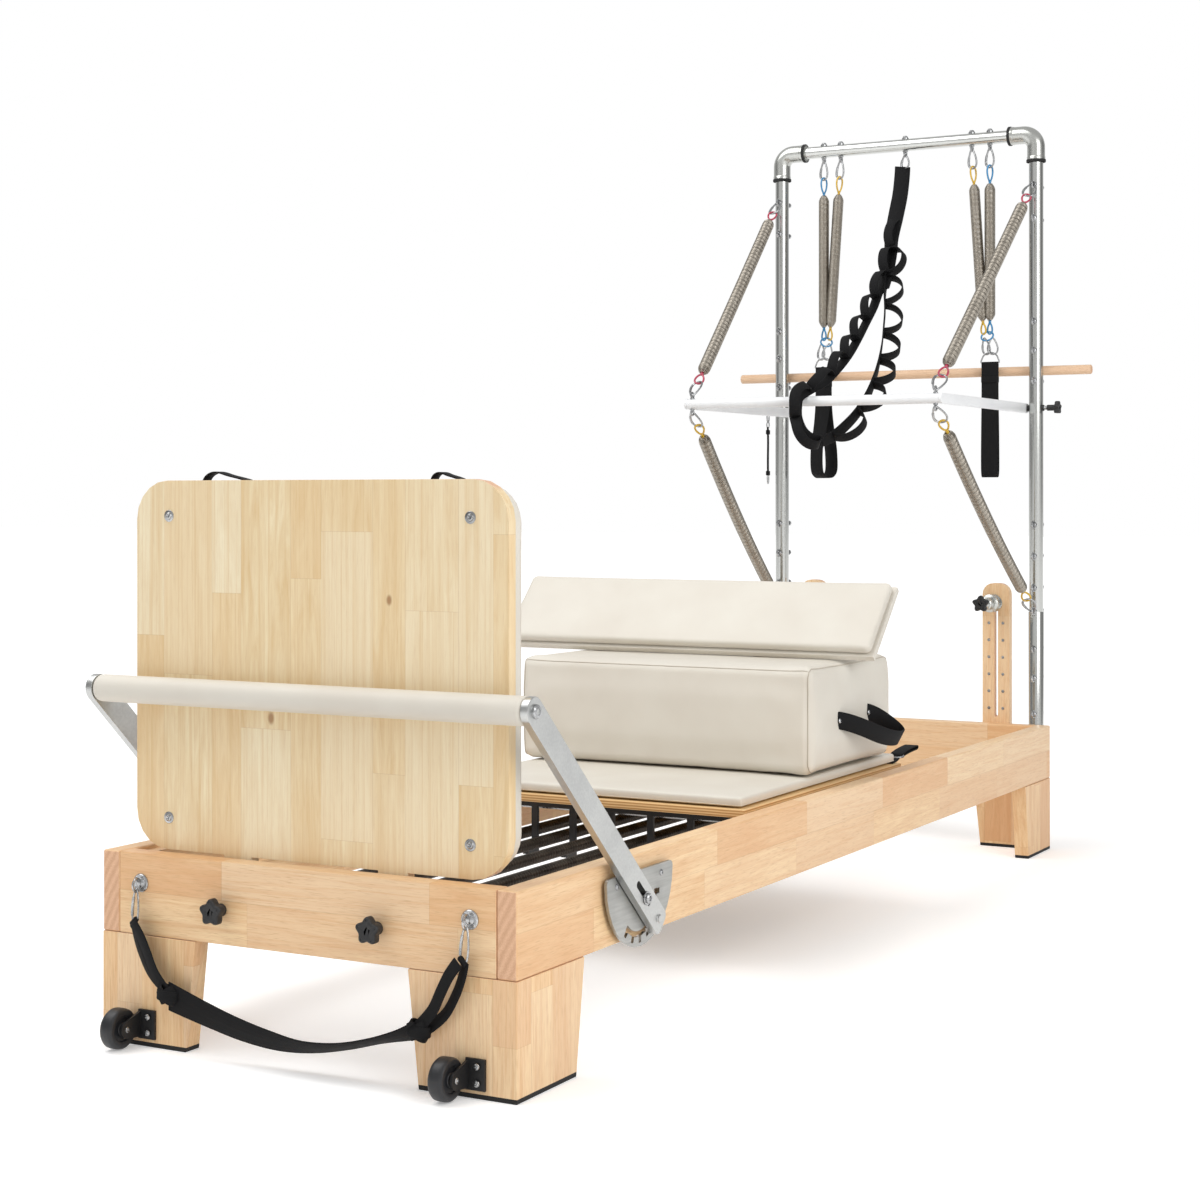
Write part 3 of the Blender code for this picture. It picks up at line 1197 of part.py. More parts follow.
def build_hanging_springs():
    start_z = BAR_EYE_Z - HOOK_OFFSET - FIT_GAP
    for side in (1, -1):
        middle = side * LOOP_SPREAD
        pieces = []
        for eye, drift in ((OUTER_EYE, 0.006), (INNER_EYE, -0.013)):
            top = (POST_X, side * eye, start_z)
            bottom = (POST_X, middle + side * drift, CHAIN_Z + 0.0105)
            pieces.append(coil_spring(top, bottom, HANGING_TURNS))
        ring = (POST_X, middle, CHAIN_Z)
        link = (POST_X, middle, CHAIN_Z - 0.0255)
        pieces.append(loop(ring, (0, 1, 0), (0, 0, 1), 0.0220, 0.0120, RING_WIRE, 8))
        pieces.append(loop(link, (0, 0, 1), (1, 0, 0), 0.0170, 0.0080, RING_WIRE, 8))
        half = LOOP_WIDTH / 2 + RING_WIRE + 0.0012
        d_ring = []
        corners = ((-half, 0.0), (half, 0.0), (half, 0.010), (0.012, 0.020), (-0.012, 0.020), (-half, 0.010))
        for across, up in corners:
            d_ring.append((POST_X, middle + across, LOOP_BAR_Z + up))
        pieces.append(tube(d_ring, RING_WIRE, closed=True, level=0))
        finish(combine(pieces), "hanging_springs_" + side_name(side), SPRING_STEEL, (POST_X, 0.0, BAR_EYE_Z))
        build_hand_loop(side, middle)


def build_hand_loop(side, middle):
    # A folded band: its top bight passes through the ring and its lower part hangs open.
    band = LOOP_BAND
    half = LOOP_OPEN / 2
    inner_top = LOOP_BAR_Z + RING_WIRE
    bottom = inner_top - LOOP_LENGTH
    full = half + band
    eye = rounded_rectangle(POST_X - 0.0035, POST_X + 0.0035, LOOP_BAR_Z - 0.006, inner_top, 0.0034, 3)
    outer = rounded_rectangle(POST_X - full, POST_X + full, bottom, inner_top + band, full - 0.0002, 4)
    hole = rounded_rectangle(POST_X - half, POST_X + half, bottom + band, inner_top - 0.130, half - 0.0002, 4)
    strap = plate(outer, LOOP_WIDTH, "XZ", middle - LOOP_WIDTH / 2, [eye, hole])
    finish(strap, "hand_loop_" + side_name(side), WEBBING, (POST_X, 0.0, BAR_EYE_Z))


def ladder_line(shares):
    return [(POST_X - PUSH_LENGTH * out, y, PUSH_Z + LADDER_DROP * up) for out, y, up in shares]


def build_ladder_strap():
    # The stepped strap hangs from the middle eye and its lower bight goes round the push bar.
    ring = 0.0110
    ring_z = BAR_EYE_Z - HOOK_OFFSET - ring * math.cos(math.pi / 10)
    pieces = [loop((POST_X, 0.0, ring_z), (0, 0, 1), (0, 1, 0), ring, 0.0075, HOOK_WIRE, 10)]
    trunk = [(POST_X + 0.003, 0.0, ring_z - ring + 0.004)] + ladder_line(LADDER_TRUNK)
    front = ladder_line(LADDER_FRONT)
    back = ladder_line(LADDER_BACK)
    facing = Vector((0.25, -0.97, 0.0))
    pieces += [ribbon(trunk, 0.034, 0.0060, facing), ribbon(front, 0.030, 0.0050, facing)]
    pieces.append(ribbon(back, 0.030, 0.0050, facing))
    for line, first, last in ((trunk, 1, 4), (front, 1, 3), (back, 1, 4)):
        for index in range(first, last):
            here = Vector(line[index])
            after = Vector(line[index + 1]) if index + 1 < len(line) else here
            run = (after - here).normalized()
            out = run.cross(facing).normalized()
            if line is front or (line is trunk and index % 2):
                out = -out
            middle = (here + after) / 2
            points = [
                middle - run * 0.021, middle - run * 0.011 + out * 0.014, middle + run * 0.011 + out * 0.014,
                middle + run * 0.021,
            ]
            pieces.append(ribbon(points, 0.026, 0.0035, facing))
    finish(combine(pieces), "ladder_strap", WEBBING, (POST_X, 0.0, BAR_EYE_Z))


def build_safety_strap():
    y = PUSH_TIP + SAFETY_GAP / 2
    ring_top = PUSH_Z + PUSH_PIN_RADIUS + HOOK_WIRE + HOOK_GAP
    half = 0.0150
    middle = ring_top - half * math.cos(math.pi / 10)
    low = middle - half
    pieces = [
        loop((POST_X, y, middle), (0, 0, 1), (1, 0, 0), half, 0.0105, HOOK_WIRE, 10),
        block(POST_X - 0.0125, POST_X + 0.0125, y - 0.0035, y + 0.0035, low - 0.130, low + 0.003),
        loop((POST_X, y, low - 0.140), (0, 0, 1), (1, 0, 0), 0.0130, 0.0080, HOOK_WIRE, 10),
    ]
    finish(combine(pieces), "safety_strap", WEBBING, (POST_X, y, PUSH_Z))


def build_risers():
    front = FRAME_LENGTH + FIT_GAP
    back = front + RISER_THICK + FIT_GAP
    slot_top = HUB_Z + HUB_BOLT_RADIUS + 0.002
    for side in (1, -1):
        middle = side * RISER_SPREAD
        top = RISER_TOP - RISER_CORNER
        outline = [(middle - RISER_HALF, RISER_LOW), (middle + RISER_HALF, RISER_LOW)]
        outline += arc(middle + RISER_HALF - RISER_CORNER, top, RISER_CORNER, 0, 90, 5)
        outline += arc(middle - RISER_HALF + RISER_CORNER, top, RISER_CORNER, 90, 180, 5)
        half = RISER_SLOT_HALF
        slot = rounded_rectangle(middle - half, middle + half, RISER_SLOT_LOW, slot_top, half - 0.0003, 3)
        finish(plate(outline, RISER_THICK, "YZ", front, [slot]), "riser_" + side_name(side), WOOD)

        face = FRAME_LENGTH
        start = face - HUB_REACH
        profile = [
            (0.0, start), (0.0060, start), (0.0060, face - 0.055), (0.0120, face - 0.050),
            (0.0120, face - 0.038),
            (HUB_RADIUS, face - 0.034), (HUB_RADIUS, face - 0.022), (0.0165, face - 0.018),
            (HUB_RADIUS, face - 0.012), (HUB_RADIUS, face), (HUB_BOLT_RADIUS, face),
            (HUB_BOLT_RADIUS, back), (0.0090, back), (0.0090, back + 0.006), (0.0, back + 0.006),
        ]
        hub = turned(profile, (0.0, middle, HUB_Z), (1, 0, 0), 14)
        finish(hub, "riser_pulley_" + side_name(side), STEEL, (face, middle, HUB_Z))

        centre = (start - FIT_GAP - 0.008, middle, HUB_Z)
        knob = lobed_knob(centre, (1, 0, 0), 0.016, RISER_KNOB_RADIUS, 0.0020)
        finish(knob, "riser_knob_" + side_name(side), BLACK_PLASTIC, (start, middle, HUB_Z))


def build_dowel():
    rim = DOWEL_RADIUS
    long = 2 * DOWEL_HALF
    profile = [
        (0.0, 0.0), (rim - 0.002, 0.0), (rim, 0.002), (rim, long - 0.002), (rim - 0.002, long), (0.0, long),
    ]
    dowel = turned(profile, (DOWEL_X, -DOWEL_HALF, DOWEL_Z), (0, 1, 0), 12)
    finish(dowel, "dowel", PALE_WOOD, (DOWEL_X, 0.0, DOWEL_Z))


def main():
    build_rails()
    build_legs()
    build_clamp_knobs()
    build_keeper()
    build_jump_board()
    build_transport_wheels()
    build_spring_bar()
    build_reformer_springs()
    build_carriage()
    build_box()
    build_slope()
    build_footbar()
    build_carry_strap()
    build_tower()
    build_push_bar()
    build_push_springs()
    build_hanging_springs()
    build_ladder_strap()
    build_safety_strap()
    build_risers()
    build_dowel()
    bpy.data.collections.remove(CUTTERS)
    print("least gap of a spring to itself, mm:", round(min(GAPS) * 1000, 2))


clear_file()
PIECES = new_collection("pilates_reformer")
CUTTERS = new_collection("cutters")
GAPS = []
main()
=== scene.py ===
# Pilates reformer with a half tower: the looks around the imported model.
# Points named by at() are set out from the front face of the foot rail, as in the part's source.

import math
from functools import partial

import bmesh
import bpy
from mathutils import Matrix, Vector
from mathutils.bvhtree import BVHTree


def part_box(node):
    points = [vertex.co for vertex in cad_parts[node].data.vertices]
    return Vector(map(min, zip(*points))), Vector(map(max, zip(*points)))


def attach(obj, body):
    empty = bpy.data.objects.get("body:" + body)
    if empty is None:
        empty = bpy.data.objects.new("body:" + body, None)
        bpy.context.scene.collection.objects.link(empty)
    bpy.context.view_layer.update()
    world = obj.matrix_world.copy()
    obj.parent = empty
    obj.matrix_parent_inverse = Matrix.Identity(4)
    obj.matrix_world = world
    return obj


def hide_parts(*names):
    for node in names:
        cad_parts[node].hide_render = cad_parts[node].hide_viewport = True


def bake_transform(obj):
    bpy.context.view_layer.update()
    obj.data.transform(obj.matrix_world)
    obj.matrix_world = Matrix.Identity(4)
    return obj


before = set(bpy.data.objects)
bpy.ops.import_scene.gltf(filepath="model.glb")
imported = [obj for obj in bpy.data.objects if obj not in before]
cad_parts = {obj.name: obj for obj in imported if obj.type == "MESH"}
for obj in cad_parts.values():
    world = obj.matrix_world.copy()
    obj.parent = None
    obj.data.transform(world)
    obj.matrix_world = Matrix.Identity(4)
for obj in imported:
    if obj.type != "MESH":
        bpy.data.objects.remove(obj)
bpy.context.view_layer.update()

bl_info = {
    "name": "Pilates Reformer",
    "version": (1, 0, 0),
    "blender": (4, 5, 0),
    "location": "3D View > Sidebar > Reformer",
    "description": "Builds the dressed pieces of a pilates reformer with a half tower",
    "category": "Object",
}

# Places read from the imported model
FOOT_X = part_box("side_rail_left")[0].x
FRAME_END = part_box("side_rail_left")[1].x - FOOT_X
SAFETY_LOW, SAFETY_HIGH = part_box("safety_strap")
DOWEL_LOW, DOWEL_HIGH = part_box("dowel")

# Sizes shared by several pieces, in metres
POST_X = 2.4181
POST_Y = 0.3235
POST_RADIUS = 0.0165
SLEEVE_RADIUS = 0.0178
SLEEVE_TOP = 0.548
TOP_BAR_Z = 1.664
TOP_BAR_RADIUS = 0.0145
UPPER_SPRING_EYE = 1.544
LOWER_SPRING_EYE = 0.55
POST_EYES = (UPPER_SPRING_EYE, 1.467, 1.226, 1.158, 1.088, 0.751, 0.678, 0.604, LOWER_SPRING_EYE, 0.462, 0.394, 0.31)
EYE_REACH = 0.0098
OUTER_EYE = 0.2115
INNER_EYE = 0.167
TOP_EYE_Z = 1.6385
PUSH_X = 1.8401
PUSH_Z = 1.024
PUSH_HALF = 0.296
PUSH_EYE_Y = 0.286
PIVOT_X = 0.33
PIVOT_Z = 0.226
SIDES = (("left", 1), ("right", -1))
PHOTO_WAY = (0.876, 0.482, 0.0)
UP, DOWN, TO_FOOT, TO_HEAD = (0, 0, 1), (0, 0, -1), (-1, 0, 0), (1, 0, 0)


def linear(colour):
    # Turns an sRGB hex value into the linear colour that the shaders use.
    parts = [int(colour[place:place + 2], 16) / 255 for place in (0, 2, 4)]
    return tuple(part / 12.92 if part <= 0.04045 else ((part + 0.055) / 1.055) ** 2.4 for part in parts) + (1.0,)


def at(x, y, z):
    return Vector((FOOT_X + x, y, z))


def length_prop(name, description, default):
    return bpy.props.FloatProperty(name=name, description=description, default=default, unit="LENGTH")


def colour_prop(name, description, default):
    return bpy.props.FloatVectorProperty(
        name=name, description=description, default=linear(default), subtype="COLOR", size=4)


class ReformerSizes(bpy.types.PropertyGroup):
    stave_width: length_prop("Stave width", "Width of one glued stave of the frame", 0.0605)
    stave_length: length_prop("Stave length", "Length of one finger jointed stave", 0.36)
    spring_wire: length_prop("Spring wire", "Radius of the tower springs' wire", 0.0011)
    spring_radius: length_prop("Spring radius", "Outer radius of a tower spring", 0.0143)
    webbing_thick: length_prop("Webbing", "Thickness of the nylon webbing", 0.0022)
    pebble: length_prop("Leather pebble", "Width of one pebble of the leather's grain", 0.0019)
    edge: length_prop("Wood edge", "Rounding of the wooden edges", 0.0022)


class ReformerColours(bpy.types.PropertyGroup):
    wood_light: colour_prop("Light wood", "Pale staves", "F5D5A7")
    wood_dark: colour_prop("Dark wood", "Darker grain", "DEAD7A")
    leather: colour_prop("Upholstery", "Ivory leather", "DDD8CD")
    webbing: colour_prop("Webbing", "Black nylon", "070708")


# Materials


def add_node(tree, kind, *values, named=None, into=None, **settings):
    # Adds a node. Its open inputs take the values in order, or by name: nodes, sockets or plain values.
    # A node stands for its first open output. What the new node gives goes into that input of the shader.
    fresh = tree.nodes.new("ShaderNode" + kind)
    for name, value in settings.items():
        setattr(fresh, name, value)
    links = list(zip([socket for socket in fresh.inputs if socket.enabled], values))
    links += [(fresh.inputs[name], value) for name, value in (named or {}).items()]
    if into:
        links.append((tree.nodes["Principled BSDF"].inputs[into], fresh))
    for socket, value in links:
        if isinstance(value, bpy.types.Node):
            value = next(output for output in value.outputs if output.enabled)
        if isinstance(value, bpy.types.NodeSocket):
            tree.links.new(value, socket)
        else:
            socket.default_value = value
    return fresh


def start_material(name, colour, roughness, metallic=0.0, specular=0.5, coat=0.0):
    # A new material, and add_node bound to its tree.
    skin = bpy.data.materials.new(name)
    skin.use_nodes = True
    values = {
        "Base Color": linear(colour) if isinstance(colour, str) else colour, "Roughness": roughness,
        "Metallic": metallic, "Specular IOR Level": specular, "Coat Weight": coat}
    for socket, value in values.items():
        skin.node_tree.nodes["Principled BSDF"].inputs[socket].default_value = value
    return skin, partial(add_node, skin.node_tree)


def laminated_wood(
        name, axes, stave=None, length=None, light=None, dark=None, gloss=0.42, knots=(), warm_tint="DBA474",
        pale_tint="F4DDBA", pore=0.42, streak_pull=6.5):
    # Glued rubberwood: finger jointed staves of unlike tone, short brown pores, pink end grain.
    # The axes are those along the grain, across a stave and through it.
    sizes, colours = bpy.context.scene.reformer_sizes, bpy.context.scene.reformer_colours
    stave, length = stave or sizes.stave_width, length or sizes.stave_length
    light = linear(light) if light else tuple(colours.wood_light)
    dark = linear(dark) if dark else tuple(colours.wood_dark)
    skin, node = start_material(name, light, gloss)
    place = node("TexCoord")
    parts = node("SeparateXYZ", place.outputs["Object"])
    line = {axis: parts.outputs[axis] for axis in "XYZ"}
    line["XY"] = node("Math", line["X"], line["Y"], operation="ADD")
    along, side, deep = (line[axis] for axis in axes)
    # Staves differ in width by a slow wave, and each row of them starts at its own place.
    wave = node("Math", side, 43, operation="MULTIPLY")
    wave = node("Math", wave, operation="SINE")
    uneven = node("Math", wave, stave * 0.16, side, operation="MULTIPLY_ADD")
    strip = node("Math", uneven, 1 / stave, 40.28, operation="MULTIPLY_ADD")
    row = node("Math", strip, operation="FLOOR")
    chance = node("TexWhiteNoise", row, noise_dimensions="1D")
    slid = node("Math", along, 1 / length, 60, operation="MULTIPLY_ADD")
    slid = node("Math", chance, 9.7, slid, operation="MULTIPLY_ADD")
    block = node("Math", slid, operation="FLOOR")
    cell = node("CombineXYZ", row, block)
    tone = node("TexWhiteNoise", cell, noise_dimensions="3D")
    tints = node("SeparateColor", tone.outputs["Color"])
    # Glue lines are 1.2 mm wide.
    lines = []
    for value, share in ((strip, 0.0006 / stave), (slid, 0.0006 / length)):
        part = node("Math", value, operation="FRACT")
        part = node("Math", part, 0.5, operation="SUBTRACT")
        part = node("Math", part, operation="ABSOLUTE")
        lines.append(node("MapRange", part, 0.5 - share, 0.5, 0, 1))
    joint = node("Math", *lines, operation="MAXIMUM")
    seam = node("Math", joint, 0.28, operation="MULTIPLY")
    spot = node("CombineXYZ", along, side, deep)
    drift = node("VectorMath", tone.outputs["Color"], (3.1, 2.3, 1.7), operation="MULTIPLY")
    wide = node("VectorMath", spot, (1.6, 15, 15), operation="MULTIPLY")
    wide = node("VectorMath", wide, drift, operation="ADD")
    figure = node("TexNoise", wide, 3.2, 6, 0.6, named={"Distortion": 1.4})
    figure = node("MapRange", figure, 0.34, 0.72, 0, 0.85)
    # Pores are 0.3 mm wide, drawn 0.9 mm wide and 22 mm long so that they show.
    thin = node("VectorMath", spot, (45, 1100, 1100), operation="MULTIPLY")
    pores = node("TexNoise", thin, 1, 1)
    pore_mask = node("MapRange", pores, 0.56, 0.74, 0, pore)
    # Growth lines show as darker streaks 5 mm wide and about 150 mm long.
    drawn = node("VectorMath", spot, (streak_pull, 190, 190), operation="MULTIPLY")
    drawn = node("VectorMath", drawn, drift, operation="ADD")
    streak = node("TexNoise", drawn, 1, 3, named={"Distortion": 0.6})
    streak = node("MapRange", streak, 0.46, 0.72, 0, 0.55)
    warm = node("MapRange", tints.outputs[0], 0.35, 1, 0, 0.62)
    pale = node("MapRange", tints.outputs[1], 0.45, 1, 0, 0.55)
    layers = [
        (figure, dark), (warm, linear(warm_tint)), (pale, linear(pale_tint)), (streak, dark),
        (pore_mask, linear("B98755")), (seam, linear("A9794C"))]
    for knot_along, knot_side, size in knots:
        gap = node("VectorMath", spot, (knot_along, knot_side, 0), operation="SUBTRACT")
        gap = node("VectorMath", gap, (0.6, 1, 0), operation="MULTIPLY")
        gap = node("VectorMath", gap, operation="LENGTH")
        mark = node("MapRange", gap, size, size * 0.35, 0, 0.75, interpolation_type="SMOOTHSTEP")
        layers.append((mark, linear("94602F")))
    colour = light
    for amount, tint in layers:
        colour = node("Mix", amount, colour, tint, data_type="RGBA")
    # End grain shows where a face looks along the grain: pink brown, with year rings and speckle.
    facing = node("SeparateXYZ", place.outputs["Normal"])
    facing = node("Math", facing.outputs[axes[0]], operation="ABSOLUTE")
    cut_face = node("MapRange", facing, 0.72, 0.86, 0, 1)
    turned = node("Mapping", spot, named={"Rotation": (math.radians(28), 0, 0)})
    rings = node("TexWave", turned, 28, 2.2, 2, bands_direction="Z")
    speckle = node("TexNoise", spot, 900, 1)
    amount = node("Math", rings.outputs["Fac"], 0.35, speckle, operation="MULTIPLY_ADD")
    amount = node("MapRange", amount, 0.35, 0.95, 0, 1)
    end_colour = node("Mix", amount, linear("E6BC98"), linear("CF9F7C"), data_type="RGBA")
    node("Mix", cut_face, colour, end_colour, data_type="RGBA", into="Base Color")
    node("Bump", named={"Height": pores, "Strength": 0.1, "Distance": 0.0004}, into="Normal")
    return skin


def ivory_leather(name):
    # Coated upholstery leather: a soft satin skin with a fine pebble and slight clouding.
    paint = tuple(bpy.context.scene.reformer_colours.leather)
    skin, node = start_material(name, paint, 0.46, specular=0.42)
    place = node("TexCoord").outputs["Object"]
    cloud = node("TexNoise", place, 7, 3)
    amount = node("MapRange", cloud, 0.3, 0.75, 0, 1)
    node("Mix", amount, paint, linear("D5CEC2"), data_type="RGBA", into="Base Color")
    # The real pebble is 0.8 mm, drawn 1.9 mm wide so that it shows.
    size = bpy.context.scene.reformer_sizes.pebble
    pebble = node("TexVoronoi", place, 1 / size, named={"Smoothness": 0.6}, feature="SMOOTH_F1")
    creases = node("TexNoise", place, 60, 4)
    height = node("Math", pebble, 0.5, creases, operation="MULTIPLY_ADD")
    node("MapRange", pebble, 0, 0.8, 0.42, 0.56, into="Roughness")
    node("Bump", named={"Height": height, "Strength": 0.16, "Distance": 0.0006}, into="Normal")
    return skin


def grained_metal(name, light, dark, roughness, stretch=(1, 1, 1), spread=0.1, grain=260, blotch=1.0):
    # Bare metal drawn or brushed one way: fine lengthwise lines in its colour and gloss.
    skin, node = start_material(name, light, roughness, metallic=1.0)
    place = node("TexCoord").outputs["Object"]
    drawn = node("VectorMath", place, stretch, operation="MULTIPLY")
    lines = node("TexNoise", drawn, grain, 3)
    cloud = node("TexNoise", place, 22, 2)
    cloud = node("MapRange", cloud, 0, 1, 0.5 - blotch / 2, 0.5 + blotch / 2)
    both = node("Math", lines, 0.7, cloud, operation="MULTIPLY_ADD")
    amount = node("MapRange", both, 0.55, 1.15, 0, 1)
    node("Mix", amount, linear(light), linear(dark), data_type="RGBA", into="Base Color")
    node("MapRange", lines, 0.3, 0.7, roughness - spread / 2, roughness + spread / 2, into="Roughness")
    node("Bump", named={"Height": lines, "Strength": 0.05 * blotch, "Distance": 0.0002}, into="Normal")
    return skin


def even_skin(name, colour, worn, roughness, grain=700):
    # Powder coat, moulded nylon, rubber or piping: an even skin with a faint orange peel.
    skin, node = start_material(name, colour, roughness)
    place = node("TexCoord").outputs["Object"]
    peel = node("TexNoise", place, grain, 2)
    cloud = node("TexNoise", place, 14, 3)
    amount = node("MapRange", cloud, 0.35, 0.8, 0, 1)
    node("Mix", amount, linear(colour), linear(worn), data_type="RGBA", into="Base Color")
    node("Bump", named={"Height": peel, "Strength": 0.12, "Distance": 0.0003}, into="Normal")
    return skin


def nylon_webbing(name):
    # Flat woven nylon: slanting rows of yarn across the band, with a painted highlight that makes their crests lighter.
    paint = tuple(bpy.context.scene.reformer_colours.webbing)
    skin, node = start_material(name, paint, 0.78, specular=0.25)
    axes = node("SeparateXYZ", node("UVMap", uv_map="UVMap"))
    # Yarn rows are 1 mm apart, drawn 2.2 mm apart so that they show.
    slant = node("Math", axes.outputs["X"], 0.004, operation="PINGPONG")
    run = node("Math", axes.outputs["Y"], slant, operation="ADD")
    rows = node("Math", run, 2 * math.pi / 0.0022, operation="MULTIPLY")
    rows = node("Math", rows, operation="SINE")
    height = node("MapRange", rows, -1, 1, 0, 1)
    # Painted highlight: the crests of the rows are painted a lighter black, while the hollows keep the darker base.
    node("Mix", height, paint, linear("121214"), data_type="RGBA", into="Base Color")
    node("Bump", named={"Height": height, "Strength": 0.35, "Distance": 0.0004}, into="Normal")
    return skin


def layered_ply(name):
    # Birch plywood seen on its edge: thin plies, light and dark by turns.
    skin, node = start_material(name, "D9B27C", 0.5)
    place = node("TexCoord").outputs["Object"]
    axes = node("SeparateXYZ", place)
    wander = node("TexNoise", place, 18, 2)
    # Plies are 1.4 mm thick, drawn 2.3 mm thick so that they show.
    level = node("Math", axes.outputs["Z"], 2 * math.pi / 0.0046, operation="MULTIPLY")
    level = node("Math", wander, 1.2, level, operation="MULTIPLY_ADD")
    level = node("Math", level, operation="SINE")
    amount = node("MapRange", level, -0.5, 0.5, 0, 1)
    node("Mix", amount, linear("E2BD87"), linear("B98750"), data_type="RGBA", into="Base Color")
    node("Bump", named={"Height": amount, "Strength": 0.08, "Distance": 0.0002}, into="Normal")
    return skin


def enamelled_wire(name, colour, worn):
    # Coloured enamel on steel wire, glossy, rubbed a little duller where it is held.
    skin, node = start_material(name, colour, 0.28, coat=0.3)
    place = node("TexCoord").outputs["Object"]
    rub = node("TexNoise", place, 160, 2)
    amount = node("MapRange", rub, 0.45, 0.7, 0, 0.7)
    node("Mix", amount, linear(colour), linear(worn), data_type="RGBA", into="Base Color")
    return skin


# Each finish has its function and what the function takes after the name.
BOARD_KNOTS = ((0.67, -0.131, 0.006), (0.494, 0.076, 0.0075))
FINISHES = {
    "rubberwood_side_rail": (laminated_wood, "XZY"),
    "rubberwood_cross_rail": (laminated_wood, "YZX"),
    "rubberwood_leg": (laminated_wood, ("Z", "XY", "Y"), None, 0.21),
    "rubberwood_riser": (laminated_wood, "ZYX", 0.09),
    "rubberwood_panel": (
        laminated_wood, "ZYX", 0.072, 0.44, "F2E1BC", "DDBC88", 0.4, BOARD_KNOTS, "E6C594", "F6EBCF", 0.15, 1.6),
    "beech_dowel": (laminated_wood, "YZX", 0.2, 3.0, "F0DCC4", "E3C7A8", 0.5),
    "birch_plywood": (layered_ply,),
    "ivory_leather": (ivory_leather,),
    "ivory_welt": (even_skin, "BDB4A6", "B0A698", 0.6),
    "ivory_piping": (even_skin, "DAD3C8", "CDC5B9", 0.6),
    "brushed_aluminium": (grained_metal, "C3C4C2", "B4B5B4", 0.34, (1, 12, 1)),
    "brushed_aluminium_plate": (grained_metal, "B3B3B0", "9E9E9B", 0.38, (0.06, 1, 1)),
    "satin_steel_tube": (grained_metal, "D2D3D0", "BEBFBC", 0.16, (1, 1, 0.02), 0.04, 420, 0.1),
    "satin_steel_bar": (grained_metal, "D2D3D0", "BEBFBC", 0.16, (1, 0.02, 1), 0.04, 420, 0.1),
    "zinc_steel": (grained_metal, "BEBFC0", "8B8C8D", 0.26),
    "cast_fitting": (grained_metal, "C9CAC6", "B4B5B1", 0.26, (1, 1, 1), 0.06, 500, 0.25),
    "oiled_spring_wire": (grained_metal, "B2ABA0", "90897E", 0.38, (1, 1, 1), 0.1, 260, 0.35),
    "dark_spring_wire": (grained_metal, "4C453E", "2F2A26", 0.4),
    "white_powder_coat": (even_skin, "F0F1F2", "E6E7E9", 0.34),
    "black_powder_coat": (even_skin, "161617", "202022", 0.46),
    "black_nylon": (even_skin, "1A1A1B", "262628", 0.55, 420),
    "urethane_tyre": (even_skin, "1B1C1F", "2A2B2F", 0.42, 900),
    "black_rubber": (even_skin, "121212", "1C1C1C", 0.75, 500),
    "nylon_webbing": (nylon_webbing,),
    "red_enamel": (enamelled_wire, "B93B55", "96304A"),
    "blue_enamel": (enamelled_wire, "3289BC", "2A6F9C"),
    "yellow_enamel": (enamelled_wire, "DDB42F", "B9902A"),
}


def material(name):
    # Finds a finish, or makes it the first time that it is asked for.
    make, *values = FINISHES[name]
    return bpy.data.materials.get(name) or make(name, *values)


# Forms. Each function gives a bmesh that new_piece or gather takes over.


def mm(*rows):
    # Rows of numbers that are given in millimetres.
    return [tuple(number / 1000 for number in row) for row in rows]


def new_form():
    form = bmesh.new()
    form.loops.layers.uv.new("UVMap")
    return form


def gather(whole, form, skin=0):
    # Adds one closed form to a piece, with the number of its material.
    for face in form.faces:
        face.material_index = skin
        face.smooth = True
    mesh = bpy.data.meshes.new("form")
    form.to_mesh(mesh)
    form.free()
    whole.from_mesh(mesh)
    bpy.data.meshes.remove(mesh)


def form_from(thing):
    # The finished mesh of a passing object, as a form. The object goes.
    bpy.context.view_layer.update()
    graph = bpy.context.evaluated_depsgraph_get()
    mesh = bpy.data.meshes.new_from_object(thing.evaluated_get(graph), depsgraph=graph)
    mesh.transform(thing.matrix_world)
    form = new_form()
    form.from_mesh(mesh)
    old = thing.data
    bpy.data.objects.remove(thing, do_unlink=True)
    bpy.data.meshes.remove(mesh)
    (bpy.data.curves if isinstance(old, bpy.types.Curve) else bpy.data.meshes).remove(old)
    return form


def linked_object(name, form):
    mesh = bpy.data.meshes.new(name)
    form.to_mesh(mesh)
    form.free()
    thing = bpy.data.objects.new(name, mesh)
    bpy.context.scene.collection.objects.link(thing)
    return thing


def bevel_edges(form, edges, width, segments, clamped=False):
    bmesh.ops.bevel(
        form, geom=edges, offset=width, offset_type="OFFSET", segments=segments, profile=0.5, affect="EDGES",
        clamp_overlap=clamped, material=-1)


def round_edges(form, width, segments=2, angle=30.0):
    sharp = [edge for edge in form.edges if len(edge.link_faces) == 2 and edge.calc_face_angle() > math.radians(angle)]
    bevel_edges(form, sharp, width, segments, clamped=True)
    return form


def slab(low, high, edge=0.0, segments=2):
    form = new_form()
    low, high = Vector(low), Vector(high)
    bmesh.ops.create_cube(form, size=1.0)
    bmesh.ops.scale(form, vec=high - low, verts=form.verts)
    bmesh.ops.translate(form, vec=(low + high) / 2, verts=form.verts)
    if edge > 0.0:
        round_edges(form, edge, segments)
    return form


def lay_along(start, direction):
    turn = Vector(direction).to_track_quat("Z", "X").to_matrix().to_4x4()
    return Matrix.Translation(Vector(start)) @ turn


